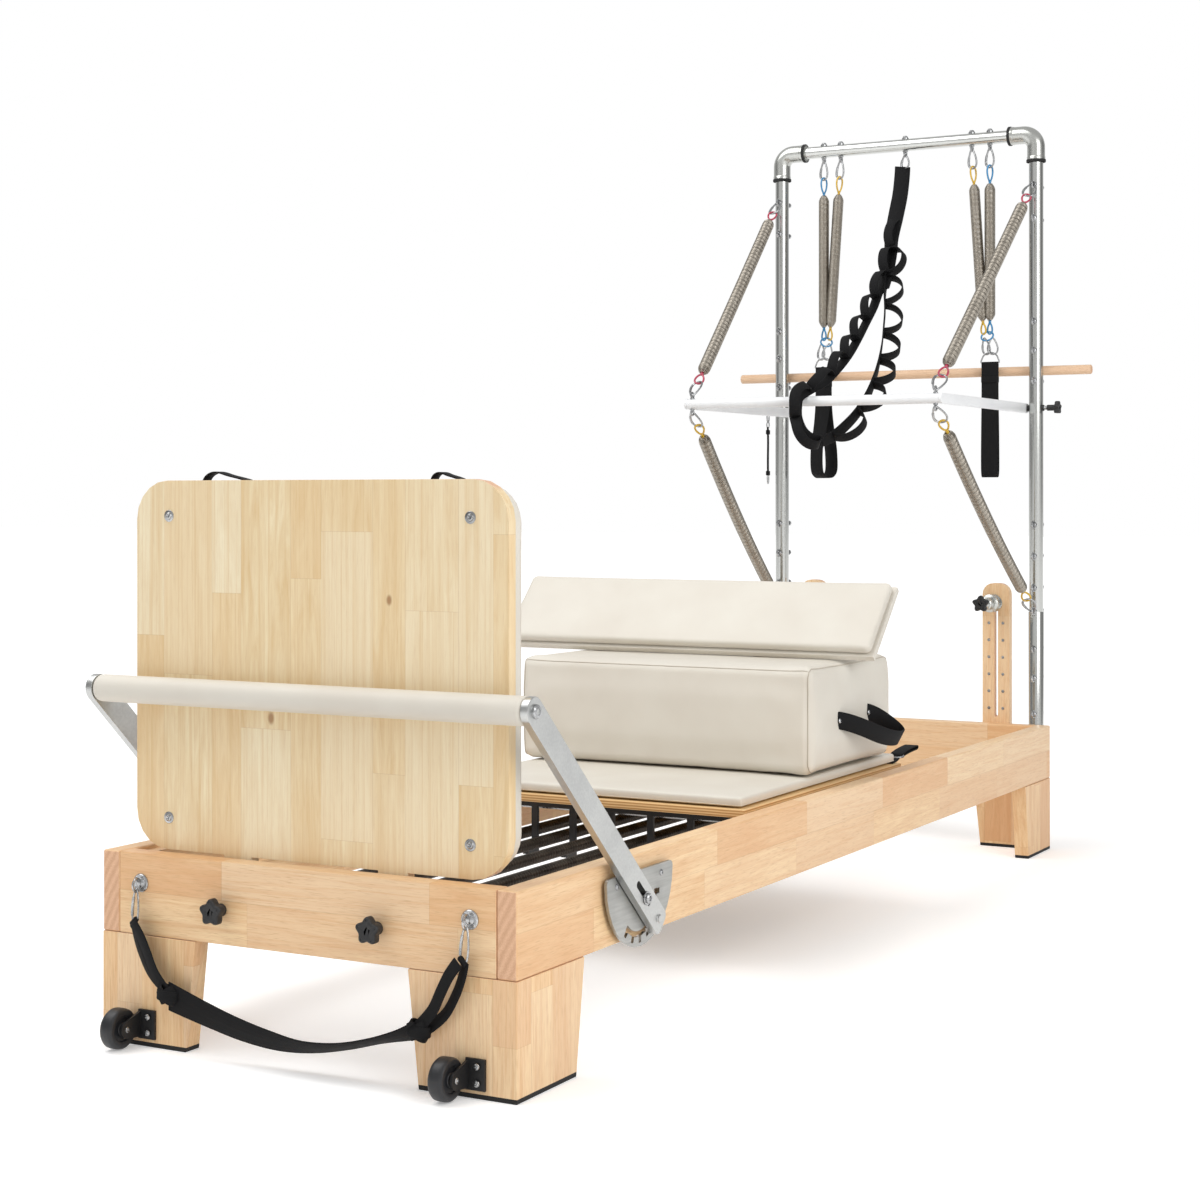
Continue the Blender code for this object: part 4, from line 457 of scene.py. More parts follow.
def spun(profile, start, direction, sides=32):
    # Turns (radius, distance) pairs about a line, on which an open profile is closed.
    profile = list(profile)
    first, last = profile[0], profile[-1]
    if first != last:
        profile = [(0.0, first[1])] * (first[0] > 0) + profile + [(0.0, last[1])] * (last[0] > 0)
    form = new_form()
    points = [form.verts.new((radius, 0.0, distance)) for radius, distance in profile]
    edges = [form.edges.new(pair) for pair in zip(points, points[1:])]
    bmesh.ops.spin(
        form, geom=points + edges, cent=(0, 0, 0), axis=UP, angle=2 * math.pi, steps=sides, use_merge=True)
    bmesh.ops.remove_doubles(form, verts=form.verts, dist=0.000001)
    bmesh.ops.recalc_face_normals(form, faces=form.faces)
    bmesh.ops.transform(form, matrix=lay_along(start, direction), verts=form.verts)
    return form


def rod(start, end, radius, sides=24, edge=0.0006):
    start, end = Vector(start), Vector(end)
    long = (end - start).length
    profile = [(radius - edge, 0.0), (radius, edge), (radius, long - edge), (radius - edge, long)]
    return spun(profile, start, end - start, sides)


def dome_bolt(start, direction, radius, rise, sides=20):
    # A low round head with a socket in it.
    socket = radius * 0.38
    profile = [
        (socket, rise * 0.35), (socket * 1.1, rise), (radius * 0.62, rise * 0.92), (radius * 0.88, rise * 0.55),
        (radius, 0.0), (0.0, -0.0005)]
    return spun(profile, start, direction, sides)


def hex_nut(start, direction, radius, rise):
    form = new_form()
    bmesh.ops.create_cone(form, cap_ends=True, segments=6, radius1=radius, radius2=radius, depth=rise)
    bmesh.ops.translate(form, vec=(0, 0, rise / 2), verts=form.verts)
    round_edges(form, radius * 0.08)
    bmesh.ops.transform(form, matrix=lay_along(start, direction), verts=form.verts)
    return form


def smooth_line(points, steps=6, closed=False):
    # A soft curve through the points.
    points = [Vector(point) for point in points]
    count = len(points)
    line = []
    spans = count if closed else count - 1
    for index in range(spans):
        if closed:
            p0, p1, p2, p3 = (points[(index + shift) % count] for shift in (-1, 0, 1, 2))
        else:
            p0 = points[max(index - 1, 0)]
            p1, p2 = points[index], points[index + 1]
            p3 = points[min(index + 2, count - 1)]
        for step in range(steps):
            t = step / steps
            line.append(0.5 * (
                2 * p1 + (p2 - p0) * t + (2 * p0 - 5 * p1 + 4 * p2 - p3) * t * t
                + (3 * p1 - p0 - 3 * p2 + p3) * t * t * t))
    if not closed:
        line.append(points[-1])
    return line


def wire(points, radius, closed=False, sides=8):
    # Round wire bent along the points.
    curve = bpy.data.curves.new("wire", "CURVE")
    curve.dimensions = "3D"
    curve.bevel_depth = radius
    curve.bevel_resolution = max(0, (sides - 4) // 2)
    curve.use_fill_caps = True
    spline = curve.splines.new("POLY")
    spline.points.add(len(points) - 1)
    for spot, point in zip(spline.points, points):
        spot.co = (point[0], point[1], point[2], 1.0)
    spline.use_cyclic_u = closed
    thing = bpy.data.objects.new("wire", curve)
    bpy.context.scene.collection.objects.link(thing)
    form = form_from(thing)
    bmesh.ops.remove_doubles(form, verts=form.verts, dist=0.000002)
    bmesh.ops.recalc_face_normals(form, faces=form.faces)
    return form


def band(points, across, width, thick):
    # Flat webbing: a line pulled out across its width, given UVs in metres, then its thickness.
    form = bmesh.new()
    uv = form.loops.layers.uv.new("UVMap")
    place = form.verts.layers.int.new("place")
    points = [Vector(point) for point in points]
    if isinstance(across, (tuple, Vector)):
        across = [Vector(across)] * len(points)
    across = [Vector(side).normalized() for side in across]
    run = [0.0]
    for before, after in zip(points, points[1:]):
        run.append(run[-1] + (after - before).length)
    line = []
    for index, (point, side) in enumerate(zip(points, across)):
        vert = form.verts.new(point - side * width / 2)
        vert[place] = index
        line.append(vert)
    edges = [form.edges.new(pair) for pair in zip(line, line[1:])]
    pulled = bmesh.ops.extrude_edge_only(form, edges=edges)["geom"]
    fresh = {item for item in pulled if isinstance(item, bmesh.types.BMVert)}
    for vert in fresh:
        vert.co += across[vert[place]] * width
    for face in form.faces:
        for corner in face.loops:
            corner[uv].uv = (width if corner.vert in fresh else 0.0, run[corner.vert[place]])
    thing = linked_object("passing", form)
    shell = thing.modifiers.new("thickness", "SOLIDIFY")
    shell.thickness = thick
    shell.offset = 0.0
    edge = thing.modifiers.new("edge", "BEVEL")
    edge.width = thick * 0.28
    edge.segments = 1
    edge.limit_method = "ANGLE"
    edge.angle_limit = math.radians(55)
    return form_from(thing)


def cad_form(node, edge=0.0, segments=2, angle=30.0):
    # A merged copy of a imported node's mesh, its flat faces made whole and its edges rounded.
    form = new_form()
    form.from_mesh(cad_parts[node].data)
    bmesh.ops.remove_doubles(form, verts=form.verts, dist=0.000002)
    bmesh.ops.dissolve_limit(form, angle_limit=math.radians(0.5), verts=form.verts, edges=form.edges)
    if edge > 0.0:
        round_edges(form, edge, segments, angle)
    return form


def new_piece(name, form, skins, body, nodes, sharp=32.0, weigh=False):
    # Links a finished form as a piece that rides on its body.
    form.normal_update()
    thing = linked_object(name, form)
    mesh = thing.data
    for face in mesh.polygons:
        face.use_smooth = True
    mesh.set_sharp_from_angle(angle=math.radians(sharp))
    for skin in skins:
        mesh.materials.append(material(skin))
    if weigh:
        even = thing.modifiers.new("even_normals", "WEIGHTED_NORMAL")
        even.keep_sharp = True
    if body:
        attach(thing, body)
    if nodes:
        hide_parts(*nodes)
    return thing


def dressed(node, form, skins, body, sharp=32.0, weigh=False):
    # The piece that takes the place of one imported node.
    return new_piece(node + "_dressed", form, skins, body, (node,), sharp, weigh)


# Padded forms


def gridded(form, low, high, cell):
    # Cuts the form along even planes so that it can swell and bend.
    for axis in range(3):
        span = high[axis] - low[axis]
        count = max(1, round(span / cell))
        for step in range(1, count):
            spot = Vector((0.0, 0.0, 0.0))
            spot[axis] = low[axis] + span * step / count
            normal = Vector((0.0, 0.0, 0.0))
            normal[axis] = 1.0
            geometry = form.verts[:] + form.edges[:] + form.faces[:]
            bmesh.ops.bisect_plane(form, geom=geometry, dist=0.0000001, plane_co=spot, plane_no=normal)
    return form


def swell(thing, cap, pressure):
    # Blows the cover up a little with cloth simulation, and lets no point move further than the cap.
    rest = [vert.co.copy() for vert in thing.data.vertices]
    scene = bpy.context.scene
    cloth = thing.modifiers.new("cloth", "CLOTH")
    cloth.settings.quality = 6
    cloth.settings.mass = 0.25
    cloth.settings.tension_stiffness = 22
    cloth.settings.compression_stiffness = 22
    cloth.settings.shear_stiffness = 12
    cloth.settings.bending_stiffness = 2.0
    cloth.settings.use_pressure = True
    cloth.settings.uniform_pressure_force = pressure
    cloth.settings.effector_weights.gravity = 0.0
    cloth.collision_settings.use_collision = False
    cloth.point_cache.frame_start = 1
    cloth.point_cache.frame_end = 20
    for number in range(1, 21):
        scene.frame_set(number)
    graph = bpy.context.evaluated_depsgraph_get()
    shown = thing.evaluated_get(graph).to_mesh()
    moved = [vert.co.copy() for vert in shown.vertices]
    thing.evaluated_get(graph).to_mesh_clear()
    thing.modifiers.remove(cloth)
    scene.frame_set(1)
    for vert, before, after in zip(thing.data.vertices, rest, moved):
        shift = after - before
        far = shift.length
        if far > 1e-9:
            vert.co = before + shift * (cap * math.tanh(far / cap) / far)


def padded_form(size, edge, corner=0.0, corner_axis=0, cell=0.016, cap=0.004, dents=()):
    # An upholstered block about its own middle, grown to the size that it is given.
    full = Vector(size) / 2
    half = full - Vector((0.0025, 0.0025, 0.0025))
    form = slab(-half, half)
    if corner > 0.0:
        chosen = []
        for edge_line in form.edges:
            run = (edge_line.verts[0].co - edge_line.verts[1].co).normalized()
            if abs(run[corner_axis]) > 0.9:
                chosen.append(edge_line)
        bevel_edges(form, chosen, corner, 8)
    bevel_edges(form, [item for item in form.edges if item.calc_face_angle() > math.radians(40)], edge, 3)
    gridded(form, -half, half, cell)
    thing = linked_object("passing", form)
    swell(thing, cap, 4.0)
    for vert in thing.data.vertices:
        for spot, radius, depth in dents:
            near = 1.0 - min(1.0, (vert.co - Vector(spot)).length / radius)
            vert.co -= Vector((0.0, math.copysign(1.0, spot[1]), 0.0)) * (depth * near * near * (3 - 2 * near))
        for axis in range(3):
            vert.co[axis] = max(-full[axis], min(full[axis], vert.co[axis]))
    round_off = thing.modifiers.new("smooth", "SUBSURF")
    round_off.levels = 1
    round_off.render_levels = 1
    return form_from(thing)


def seam_on(form, path, radius, closed=True):
    # A sewn welt that follows the skin nearest to its path.
    tree = BVHTree.FromBMesh(form)
    line = []
    for point in path:
        spot, normal = tree.find_nearest(point)[:2]
        line.append(spot + normal * radius * 0.25)
    return wire(line, radius, closed=closed, sides=6)


def cushion(name, form, seams, place, trim, body, node):
    # A padded piece with its seams, as (path, radius, closed), set in its place.
    whole = new_form()
    for path, radius, closed in seams:
        gather(whole, seam_on(form, path, radius, closed), 1)
    gather(whole, form)
    bmesh.ops.transform(whole, matrix=place, verts=whole.verts)
    piece = new_piece(name, whole, ["ivory_leather", trim], body, (node,), 60.0)


def rounded_loop(half_a, half_b, radius, count=6):
    # Points at most 12 mm apart round a rectangle with rounded corners.
    a, b = half_a - radius, half_b - radius
    points = []
    for middle_a, middle_b, first in ((a, b, 0), (-a, b, 90), (-a, -b, 180), (a, -b, 270)):
        for step in range(count + 1):
            angle = math.radians(first + 90 * step / count)
            points.append((middle_a + radius * math.cos(angle), middle_b + radius * math.sin(angle)))
    dense = []
    for index, (a, b) in enumerate(points):
        next_a, next_b = points[(index + 1) % len(points)]
        parts = max(1, round(math.hypot(next_a - a, next_b - b) / 0.012))
        for step in range(parts):
            dense.append((a + (next_a - a) * step / parts, b + (next_b - b) * step / parts))
    return dense


# Springs, hooks and knobs


def coil(start, end, radius, wire_radius, taper=0.016, sag=0.0, points=12):
    # A close wound spring whose last turns draw in at both ends.
    start, end = Vector(start), Vector(end)
    run = end - start
    long = run.length
    ahead = run.normalized()
    side = Vector((0, 1, 0))
    side = (side - ahead * side.dot(ahead)).normalized()
    third = ahead.cross(side)
    turns = max(4, round(long / (2 * wire_radius + 0.0001)))
    middle = radius - wire_radius
    path = []
    for step in range(turns * points + 1):
        share = step / (turns * points)
        angle = 2 * math.pi * step / points
        near_end = min(share, 1 - share) * long
        reach = middle * min(1.0, 0.38 + 0.62 * math.sin(min(1.0, near_end / taper) * math.pi / 2))
        bow = Vector((0, 0, -sag * 4 * share * (1 - share)))
        path.append(start + run * share + bow + side * (reach * math.cos(angle)) + third * (reach * math.sin(angle)))
    return wire(path, wire_radius, sides=6)


def flat_loop(middle, long_way, wide_way, long, wide, count=20, squeeze=0.0):
    # Points of an oval or, with some squeeze, a pear that narrows toward its far end.
    long_way = Vector(long_way).normalized()
    wide_way = Vector(wide_way)
    wide_way = (wide_way - long_way * wide_way.dot(long_way)).normalized()
    points = []
    for step in range(count):
        angle = 2 * math.pi * step / count
        share = math.cos(angle)
        points.append(
            Vector(middle) + long_way * (long / 2 * share)
            + wide_way * (wide / 2 * math.sin(angle) * (1 - squeeze * share)))
    return points


def ring(middle, long_way, wide_way, long, wide, radius, count=20, squeeze=0.0):
    return wire(flat_loop(middle, long_way, wide_way, long, wide, count, squeeze), radius, closed=True)


def snap_hook(whole, top, bottom, wide_way, wide=0.026, radius=0.0022):
    # A pear shaped snap hook between two bearing points, with its thicker gate.
    top, bottom = Vector(top), Vector(bottom)
    ahead = (bottom - top).normalized()
    long = (bottom - top).length + 2 * radius
    middle = (top + bottom) / 2
    pear = flat_loop(middle, -ahead, wide_way, long, wide, 24, 0.48)
    gather(whole, wire(pear, radius, closed=True), 1)
    gather(whole, wire(pear[5:10], radius * 1.35), 1)


def spring_hook(whole, tip, root, wide_way, skin, radius=0.0021, wide=0.0165):
    # The coloured eye at a spring's end: a drop shaped ring with its twisted neck.
    tip, root = Vector(tip), Vector(root)
    ahead = (root - tip).normalized()
    neck, reach = 0.01, 0.0021
    long = (root - tip).length - neck + radius
    gather(whole, ring(tip + ahead * (long / 2 - radius), -ahead, wide_way, long, wide, radius, 20, -0.25), skin)
    side = Vector(wide_way)
    side = (side - ahead * side.dot(ahead)).normalized()
    third = ahead.cross(side)
    for phase in (0.0, math.pi):
        twist = []
        for step in range(17):
            share = step / 16
            angle = phase + share * 2.5 * math.pi
            spot = root - ahead * neck * (1.15 - 1.6 * share)
            twist.append(spot + side * (reach * math.cos(angle)) + third * (reach * math.sin(angle)))
        gather(whole, wire(twist, radius * 0.9, sides=6), skin)


def eyebolt(whole, base, direction, hang, reach, back, tail):
    # The ring and collar of an eyebolt and, behind the tube, its washer and nut.
    base, direction = Vector(base), Vector(direction)
    gather(whole, ring(base + direction * (reach - 0.0005), direction, hang, 0.0155, 0.0155, 0.0024, 18), 1)
    gather(whole, dome_bolt(base - direction * 0.0008, direction, 0.007, 0.0048), 1)
    far = base - direction * back
    gather(whole, rod(far + direction * 0.002, far - direction * min(0.0014, tail / 2), 0.0082, 20, 0.0003), 1)
    stem = max(0.0, tail - 0.0125)
    washer = min(0.0026, tail / 2)
    nut = [(0.0078, 0.0), (0.0078, washer), (0.0038, washer + 0.0002)]
    if tail > 0.005:
        nut += [(0.0038, stem + 0.0031), (0.0062, stem + 0.0034), (0.0064, tail - 0.0034), (0.0044, tail - 0.0006)]
    gather(whole, spun([*nut, (0.0, tail)], far, -direction, 20), 1)


def star_knob(whole, base, direction, radius, lobe, thick, neck, neck_radius):
    # A five lobed hand knob: rounded lobes, a dished face and a round neck.
    form = new_form()
    bmesh.ops.create_circle(form, cap_ends=True, segments=60, radius=1.0)
    for vert in form.verts:
        angle = math.atan2(vert.co.y, vert.co.x)
        vert.co = vert.co.normalized() * (radius + lobe * math.cos(5 * angle))
    bmesh.ops.translate(form, vec=(0, 0, neck), verts=form.verts)
    rest = bmesh.ops.extrude_face_region(form, geom=form.faces[:])
    bmesh.ops.translate(
        form, vec=(0, 0, thick), verts=[item for item in rest["geom"] if isinstance(item, bmesh.types.BMVert)])
    bmesh.ops.recalc_face_normals(form, faces=form.faces)
    round_edges(form, thick * 0.26, 4, 60.0)
    top = max(form.faces, key=lambda face: face.calc_center_median().z)
    bmesh.ops.inset_individual(form, faces=[top], thickness=radius * 0.35)
    bmesh.ops.translate(form, vec=(0, 0, -thick * 0.1), verts=top.verts)
    bmesh.ops.transform(form, matrix=lay_along(base, direction), verts=form.verts)
    gather(whole, form)
    start = Vector(base)
    gather(whole, rod(start, start + Vector(direction) * (neck + thick * 0.3), neck_radius))


def knot(whole, middle, size):
    # A flat hitch: three turns of webbing wrapped tight over each other.
    for tilt, scale in ((34, 0.96), (-34, 0.9), (4, 1.0)):
        lean = Matrix.Rotation(math.radians(tilt), 3, "X")
        points = []
        for step in range(41):
            angle = 2 * math.pi * step / 40
            spot = Vector((size[0] / 2 * math.cos(angle) * scale, size[1] / 2 * math.sin(angle) * scale, 0.0))
            points.append(middle + lean @ spot)
        gather(whole, band(points, lean @ Vector(UP), size[2], 0.0024))


class OBJECT_OT_reformer_frame(bpy.types.Operator):
    """Builds the wooden frame: side rails, foot and head rails, and the four legs"""
    bl_idname = "object.reformer_frame"
    bl_label = "Wooden frame"

    def execute(self, context):
        edge = context.scene.reformer_sizes.edge
        sole = 0.007
        for side, sign in SIDES:
            node = "side_rail_" + side
            dressed(node, cad_form(node, edge), ["rubberwood_side_rail"], "frame", weigh=True)
            for end in ("foot", "head"):
                node = "leg_" + end + "_" + side
                form = cad_form(node)
                geometry = form.verts[:] + form.edges[:] + form.faces[:]
                bmesh.ops.bisect_plane(form, geom=geometry, dist=0.00001, plane_co=(0, 0, sole), plane_no=UP)
                round_edges(form, edge * 0.7)
                for face in form.faces:
                    face.material_index = 1 if face.calc_center_median().z < sole + 0.0001 else 0
                dressed(node, form, ["rubberwood_leg", "black_rubber"], "frame", weigh=True)
        dressed(
            "head_rail", cad_form("head_rail", edge), ["rubberwood_cross_rail"], "frame", weigh=True)
        whole = new_form()
        gather(whole, slab(at(0.0003, -0.3302, 0.165), at(0.032, 0.3302, 0.286), edge))
        eye_plate = mm((0, 5), (3.8, 4.8), (6.2, 3.4), (7.2, 2.6), (12.5, 2.4), (13.6, 1.4), (13.8, -0.2))
        for side, sign in SIDES:
            middle = at(0, sign * 0.2885, 0.242)
            gather(whole, spun(eye_plate, middle, TO_FOOT, 40), 1)
            for turn in (45, 135, 225, 315):
                turn = math.radians(turn)
                spot = middle + Vector((-0.0022, 0.01 * math.cos(turn), 0.01 * math.sin(turn)))
                gather(whole, dome_bolt(spot, TO_FOOT, 0.0024, 0.001, 14), 1)
            gather(whole, ring(middle + Vector((-0.0098, 0, -0.002)), UP, TO_FOOT, 0.019, 0.0165, 0.002, 22), 1)
        dressed("foot_rail", whole, ["rubberwood_cross_rail", "zinc_steel"], "frame", weigh=True)
        return {"FINISHED"}


class OBJECT_OT_reformer_jump_board(bpy.types.Operator):
    """Builds the jump board, its bolts and the padded cover behind it"""
    bl_idname = "object.reformer_jump_board"
    bl_label = "Jump board"

    def execute(self, context):
        whole = new_form()
        gather(whole, cad_form("jump_board", 0.0017, 3))
        washer = mm((7.8, 1.2), (8.8, 0.4), (8.8, -0.6))
        for side, sign in SIDES:
            for z in (0.336, 0.787):
                spot = at(0.0363, sign * 0.266, z)
                gather(whole, spun(washer, spot, TO_FOOT), 1)
                gather(whole, dome_bolt(spot - Vector((0.0011, 0, 0)), TO_FOOT, 0.0058, 0.0024), 1)
        dressed("jump_board", whole, ["rubberwood_panel", "zinc_steel"], "jump_board", weigh=True)
        form = padded_form((0.026, 0.66, 0.5477), 0.006, corner=0.056, cell=0.013, cap=0.0035)
        path = [Vector((0.0145, y, z)) for y, z in rounded_loop(0.3295, 0.273, 0.056)]
        cushion(
            "jump_board_cushion", form, [(path, 0.0011, True)], Matrix.Translation(at(0.0678, 0, 0.56435)),
            "ivory_piping", "jump_board", "jump_board_pad")
        # Two carry loops, as (from, to, share of the full rise).
        whole = new_form()
        for low, high, tall in ((0.133, 0.219, 1.0), (-0.238, -0.188, 0.75)):
            rise = [
                (0, -0.01), (0.03, -0.002), (0.2, 0.0022 * tall), (0.44, 0.0065 * tall), (0.64, 0.011 * tall),
                (0.78, 0.0112 * tall), (0.91, 0.0062 * tall), (0.98, -0.002), (1, -0.01)]
            line = smooth_line([at(0.064, low + (high - low) * share, 0.8405 + up) for share, up in rise], 4)
            gather(whole, band(line, TO_HEAD, 0.019, context.scene.reformer_sizes.webbing_thick))
        new_piece("jump_board_loops", whole, ["nylon_webbing"], "jump_board", (), 50)
        return {"FINISHED"}


class OBJECT_OT_reformer_carriage(bpy.types.Operator):
    """Builds the carriage deck, its frame with the spring comb, and its wheels"""
    bl_idname = "object.reformer_carriage"
    bl_label = "Carriage"

    def execute(self, context):
        whole = new_form()
        gather(whole, slab(at(0.8415, -0.306, 0.2697), at(1.584, 0.306, 0.2837), 0.0012))
        tab = mm((1560, 285.3), (1585, 287.5), (1600, 292.5))
        pull = mm(
            (1614, 292), (1640, 296.2), (1680, 299), (1698, 300), (1704, 303.2), (1696, 306.2), (1650, 303),
            (1618, 298), (1612, 294))
        for side, sign in SIDES:
            y = sign * 0.285
            for course in (tab, pull):
                line = smooth_line([at(x, y, z) for x, z in course], 5)
                gather(whole, band(line, (0, 1, 0), 0.026, 0.0026), 1)
            gather(whole, ring(at(1.607, y, 0.294), (1, 0, 0.15), (0, 1, 0), 0.024, 0.034, 0.0021), 2)
            gather(whole, dome_bolt(at(1.572, y, 0.2868), UP, 0.0052, 0.0018), 2)
        dressed("carriage_deck", whole, ["birch_plywood", "nylon_webbing", "zinc_steel"], "carriage", 40)
        dressed(
            "carriage_frame", cad_form("carriage_frame", 0.0007, 1), ["black_powder_coat"], "carriage",
            weigh=True)
        tyre = mm((15, 0), (16.5, 1.2), (17, 3), (17, 13), (16.5, 14.8), (15, 16), (8.5, 16), (7.8, 14.8))
        axle_z, inner = 0.2503, 0.288
        for end, x in (("front", 0.9275), ("rear", 1.498)):
            whole = new_form()
            gather(whole, rod(at(x, -inner, axle_z), at(x, inner, axle_z), 0.0048, 20), 1)
            for side, sign in SIDES:
                gather(whole, spun(tyre, at(x, sign * inner, axle_z), (0, sign, 0), 40))
            dressed("carriage_wheels_" + end, whole, ["urethane_tyre", "zinc_steel"], end + "_axle")
        return {"FINISHED"}


class OBJECT_OT_reformer_cushions(bpy.types.Operator):
    """Builds the carriage pad, the sitting box and the sloped pad with its stand"""
    bl_idname = "object.reformer_cushions"
    bl_label = "Cushions"

    def execute(self, context):
        seam_z = -0.0085
        form = padded_form((0.7325, 0.602, 0.0221), 0.006, cap=0.003)
        path = [Vector((x, y, seam_z)) for x, y in rounded_loop(0.3662, 0.301, 0.01, 3)]
        cushion(
            "carriage_cushion", form, [(path, 0.0009, True)], Matrix.Translation(at(1.21275, 0, 0.29505)),
            "ivory_piping", "carriage", "carriage_pad")

        # The cover is 17 mm longer at each end than its solid, as in the photograph.
        half = Vector((0.2029, 0.3115, 0.1002))
        anchors = [(x, sign * half.y, z) for sign in (1, -1) for x, z in ((-0.076, -0.008), (0.068, -0.005))]
        dents = [(anchor, 0.055, 0.0042) for anchor in anchors]
        form = padded_form(2 * half, 0.016, cell=0.017, cap=0.0045, dents=dents)
        seams = []
        for side, sign in SIDES:
            y = sign * (half.y - 0.0075)
            seams.append(([Vector((x, y, z)) for x, z in rounded_loop(half.x, half.z, 0.024)], 0.0011, True))
        for end in (1, -1):
            x, z = end * (half.x - 0.0035), half.z - 0.0035
            seams.append(([Vector((x, y / 100, z)) for y in range(-30, 31)], 0.0009, False))
        cushion(
            "sitting_box_cushion", form, seams, Matrix.Translation(at(1.326, 0, 0.407)), "ivory_welt", "box",
            "sitting_box")
        handle = mm(
            (1240, 306.5, 400), (1254, 312.5, 398.5), (1272, 325, 393), (1302, 340, 382), (1340, 352, 368),
            (1378, 359, 358), (1415, 362, 353), (1442, 359, 354), (1452, 348, 363), (1444, 334, 377),
            (1426, 321, 391), (1406, 313, 399.5), (1388, 307, 404))
        whole = new_form()
        for side, sign in SIDES:
            line = smooth_line([at(x, sign * y, z) for x, y, z in handle], 5)
            across = []
            for index in range(len(line)):
                turn = math.pi * index / (len(line) - 1)
                across.append(Vector((0.1 * math.sin(2 * turn), sign * 0.55 * math.sin(turn), 1)))
            gather(whole, band(line, across, 0.033, 0.0034))
            for x, z in ((1.248, 0.399), (1.393, 0.402)):
                gather(whole, dome_bolt(at(x, sign * 0.313, z), (0, sign, 0), 0.005, 0.0024), 1)
        new_piece("sitting_box_handles", whole, ["nylon_webbing", "zinc_steel"], "box", (), 50)

        form = cad_form("slope_stand", 0.0016)
        for face in form.faces:
            spot = face.calc_center_median()
            plate = min(abs(spot.y - 0.225), abs(spot.y + 0.125)) < 0.012 and spot.z < 0.62
            face.material_index = 1 if plate else 0
        dressed("slope_stand", form, ["ivory_leather", "birch_plywood"], "slope", weigh=True)
        low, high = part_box("slope_pad")
        wide = high.y - low.y
        form = padded_form((0.178, wide, 0.0221), 0.006, corner=0.012, corner_axis=2, cell=0.014, cap=0.003)
        path = [Vector((x, y, seam_z)) for x, y in rounded_loop(0.089, wide / 2, 0.013, 4)]
        place = Matrix.Translation((low + high) / 2) @ Matrix.Rotation(math.radians(-45), 4, "Y")
        cushion("slope_cushion", form, [(path, 0.001, True)], place, "ivory_piping", "slope", "slope_pad")
        return {"FINISHED"}


class OBJECT_OT_reformer_footbar(bpy.types.Operator):
    """Builds the footbar's arms, padded roller, lock pins and pivot bolts"""
    bl_idname = "object.reformer_footbar"
    bl_label = "Footbar"

    def execute(self, context):
        roller_low, roller_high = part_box("footbar_roller")
        middle = (roller_low + roller_high) / 2
        radius = (roller_high.z - roller_low.z) / 2
        screw = mm((0, 2.2), (4.2, 2.2), (4.8, 5.8), (8.2, 5.4), (9.8, 3.4), (10.2, 0), (0, -0.4))
        bolt = mm(
            (8.5, 0), (8.5, 4.7), (6.2, 4.7), (6.2, 24.2), (10.2, 24.2), (10.4, 25), (10, 25.8), (7.8, 26), (7.8, 28.5),
            (6.2, 30), (4, 30), (3.4, 27.8))
        for side, sign in SIDES:
            node = "footbar_arm_" + side
            whole = new_form()
            gather(whole, cad_form(node, 0.0011))
            gather(whole, spun(screw, (middle.x, sign * 0.3862, middle.z), (0, sign, 0)), 1)
            dressed(node, whole, ["brushed_aluminium", "zinc_steel"], "footbar", weigh=True)
            whole = new_form()
            gather(whole, spun(bolt, at(PIVOT_X, sign * 0.3628, PIVOT_Z), (0, sign, 0), 36))
            dressed("footbar_bolt_" + side, whole, ["zinc_steel"], "bar_pivot")
        half = roller_high.y
        end = mm((-6, 0), (-2.2, 1), (-0.6, 3.5), (0, 8), (0, 50))
        near = [(radius + out, along) for out, along in end]
        profile = near + [(reach, 2 * half - along) for reach, along in reversed(near)]
        whole = new_form()
        gather(whole, spun(profile, (middle.x, -half, middle.z), (0, 1, 0), 64))
        x, z = middle.x + radius * 0.55, middle.z + radius * 0.835
        line = [(x, y / 50 * (half - 0.004), z) for y in range(-50, 51)]
        gather(whole, wire(line, 0.0006, sides=6))
        roller = new_piece(
            "footbar_roller_cover", whole, ["ivory_leather"], "footbar", ("footbar_roller",), 50)
        return {"FINISHED"}


class OBJECT_OT_reformer_quadrants(bpy.types.Operator):
    """Builds the notched quadrant plates that lock the footbar"""
    bl_idname = "object.reformer_quadrants"
    bl_label = "Quadrant plates"

    def execute(self, context):
        for side, sign in SIDES:
            node = "quadrant_plate_" + side
            whole = new_form()
            gather(whole, cad_form(node, 0.0006))
            for across, up, radius in mm((-68, 26, 5.2), (72, 26, 5.2), (46, -37, 6.2)):
                spot = at(PIVOT_X + across, sign * 0.3732, PIVOT_Z + up)
                gather(whole, dome_bolt(spot, (0, sign, 0), radius, 0.0026), 1)
            dressed(node, whole, ["brushed_aluminium_plate", "zinc_steel"], "frame", weigh=True)
        return {"FINISHED"}


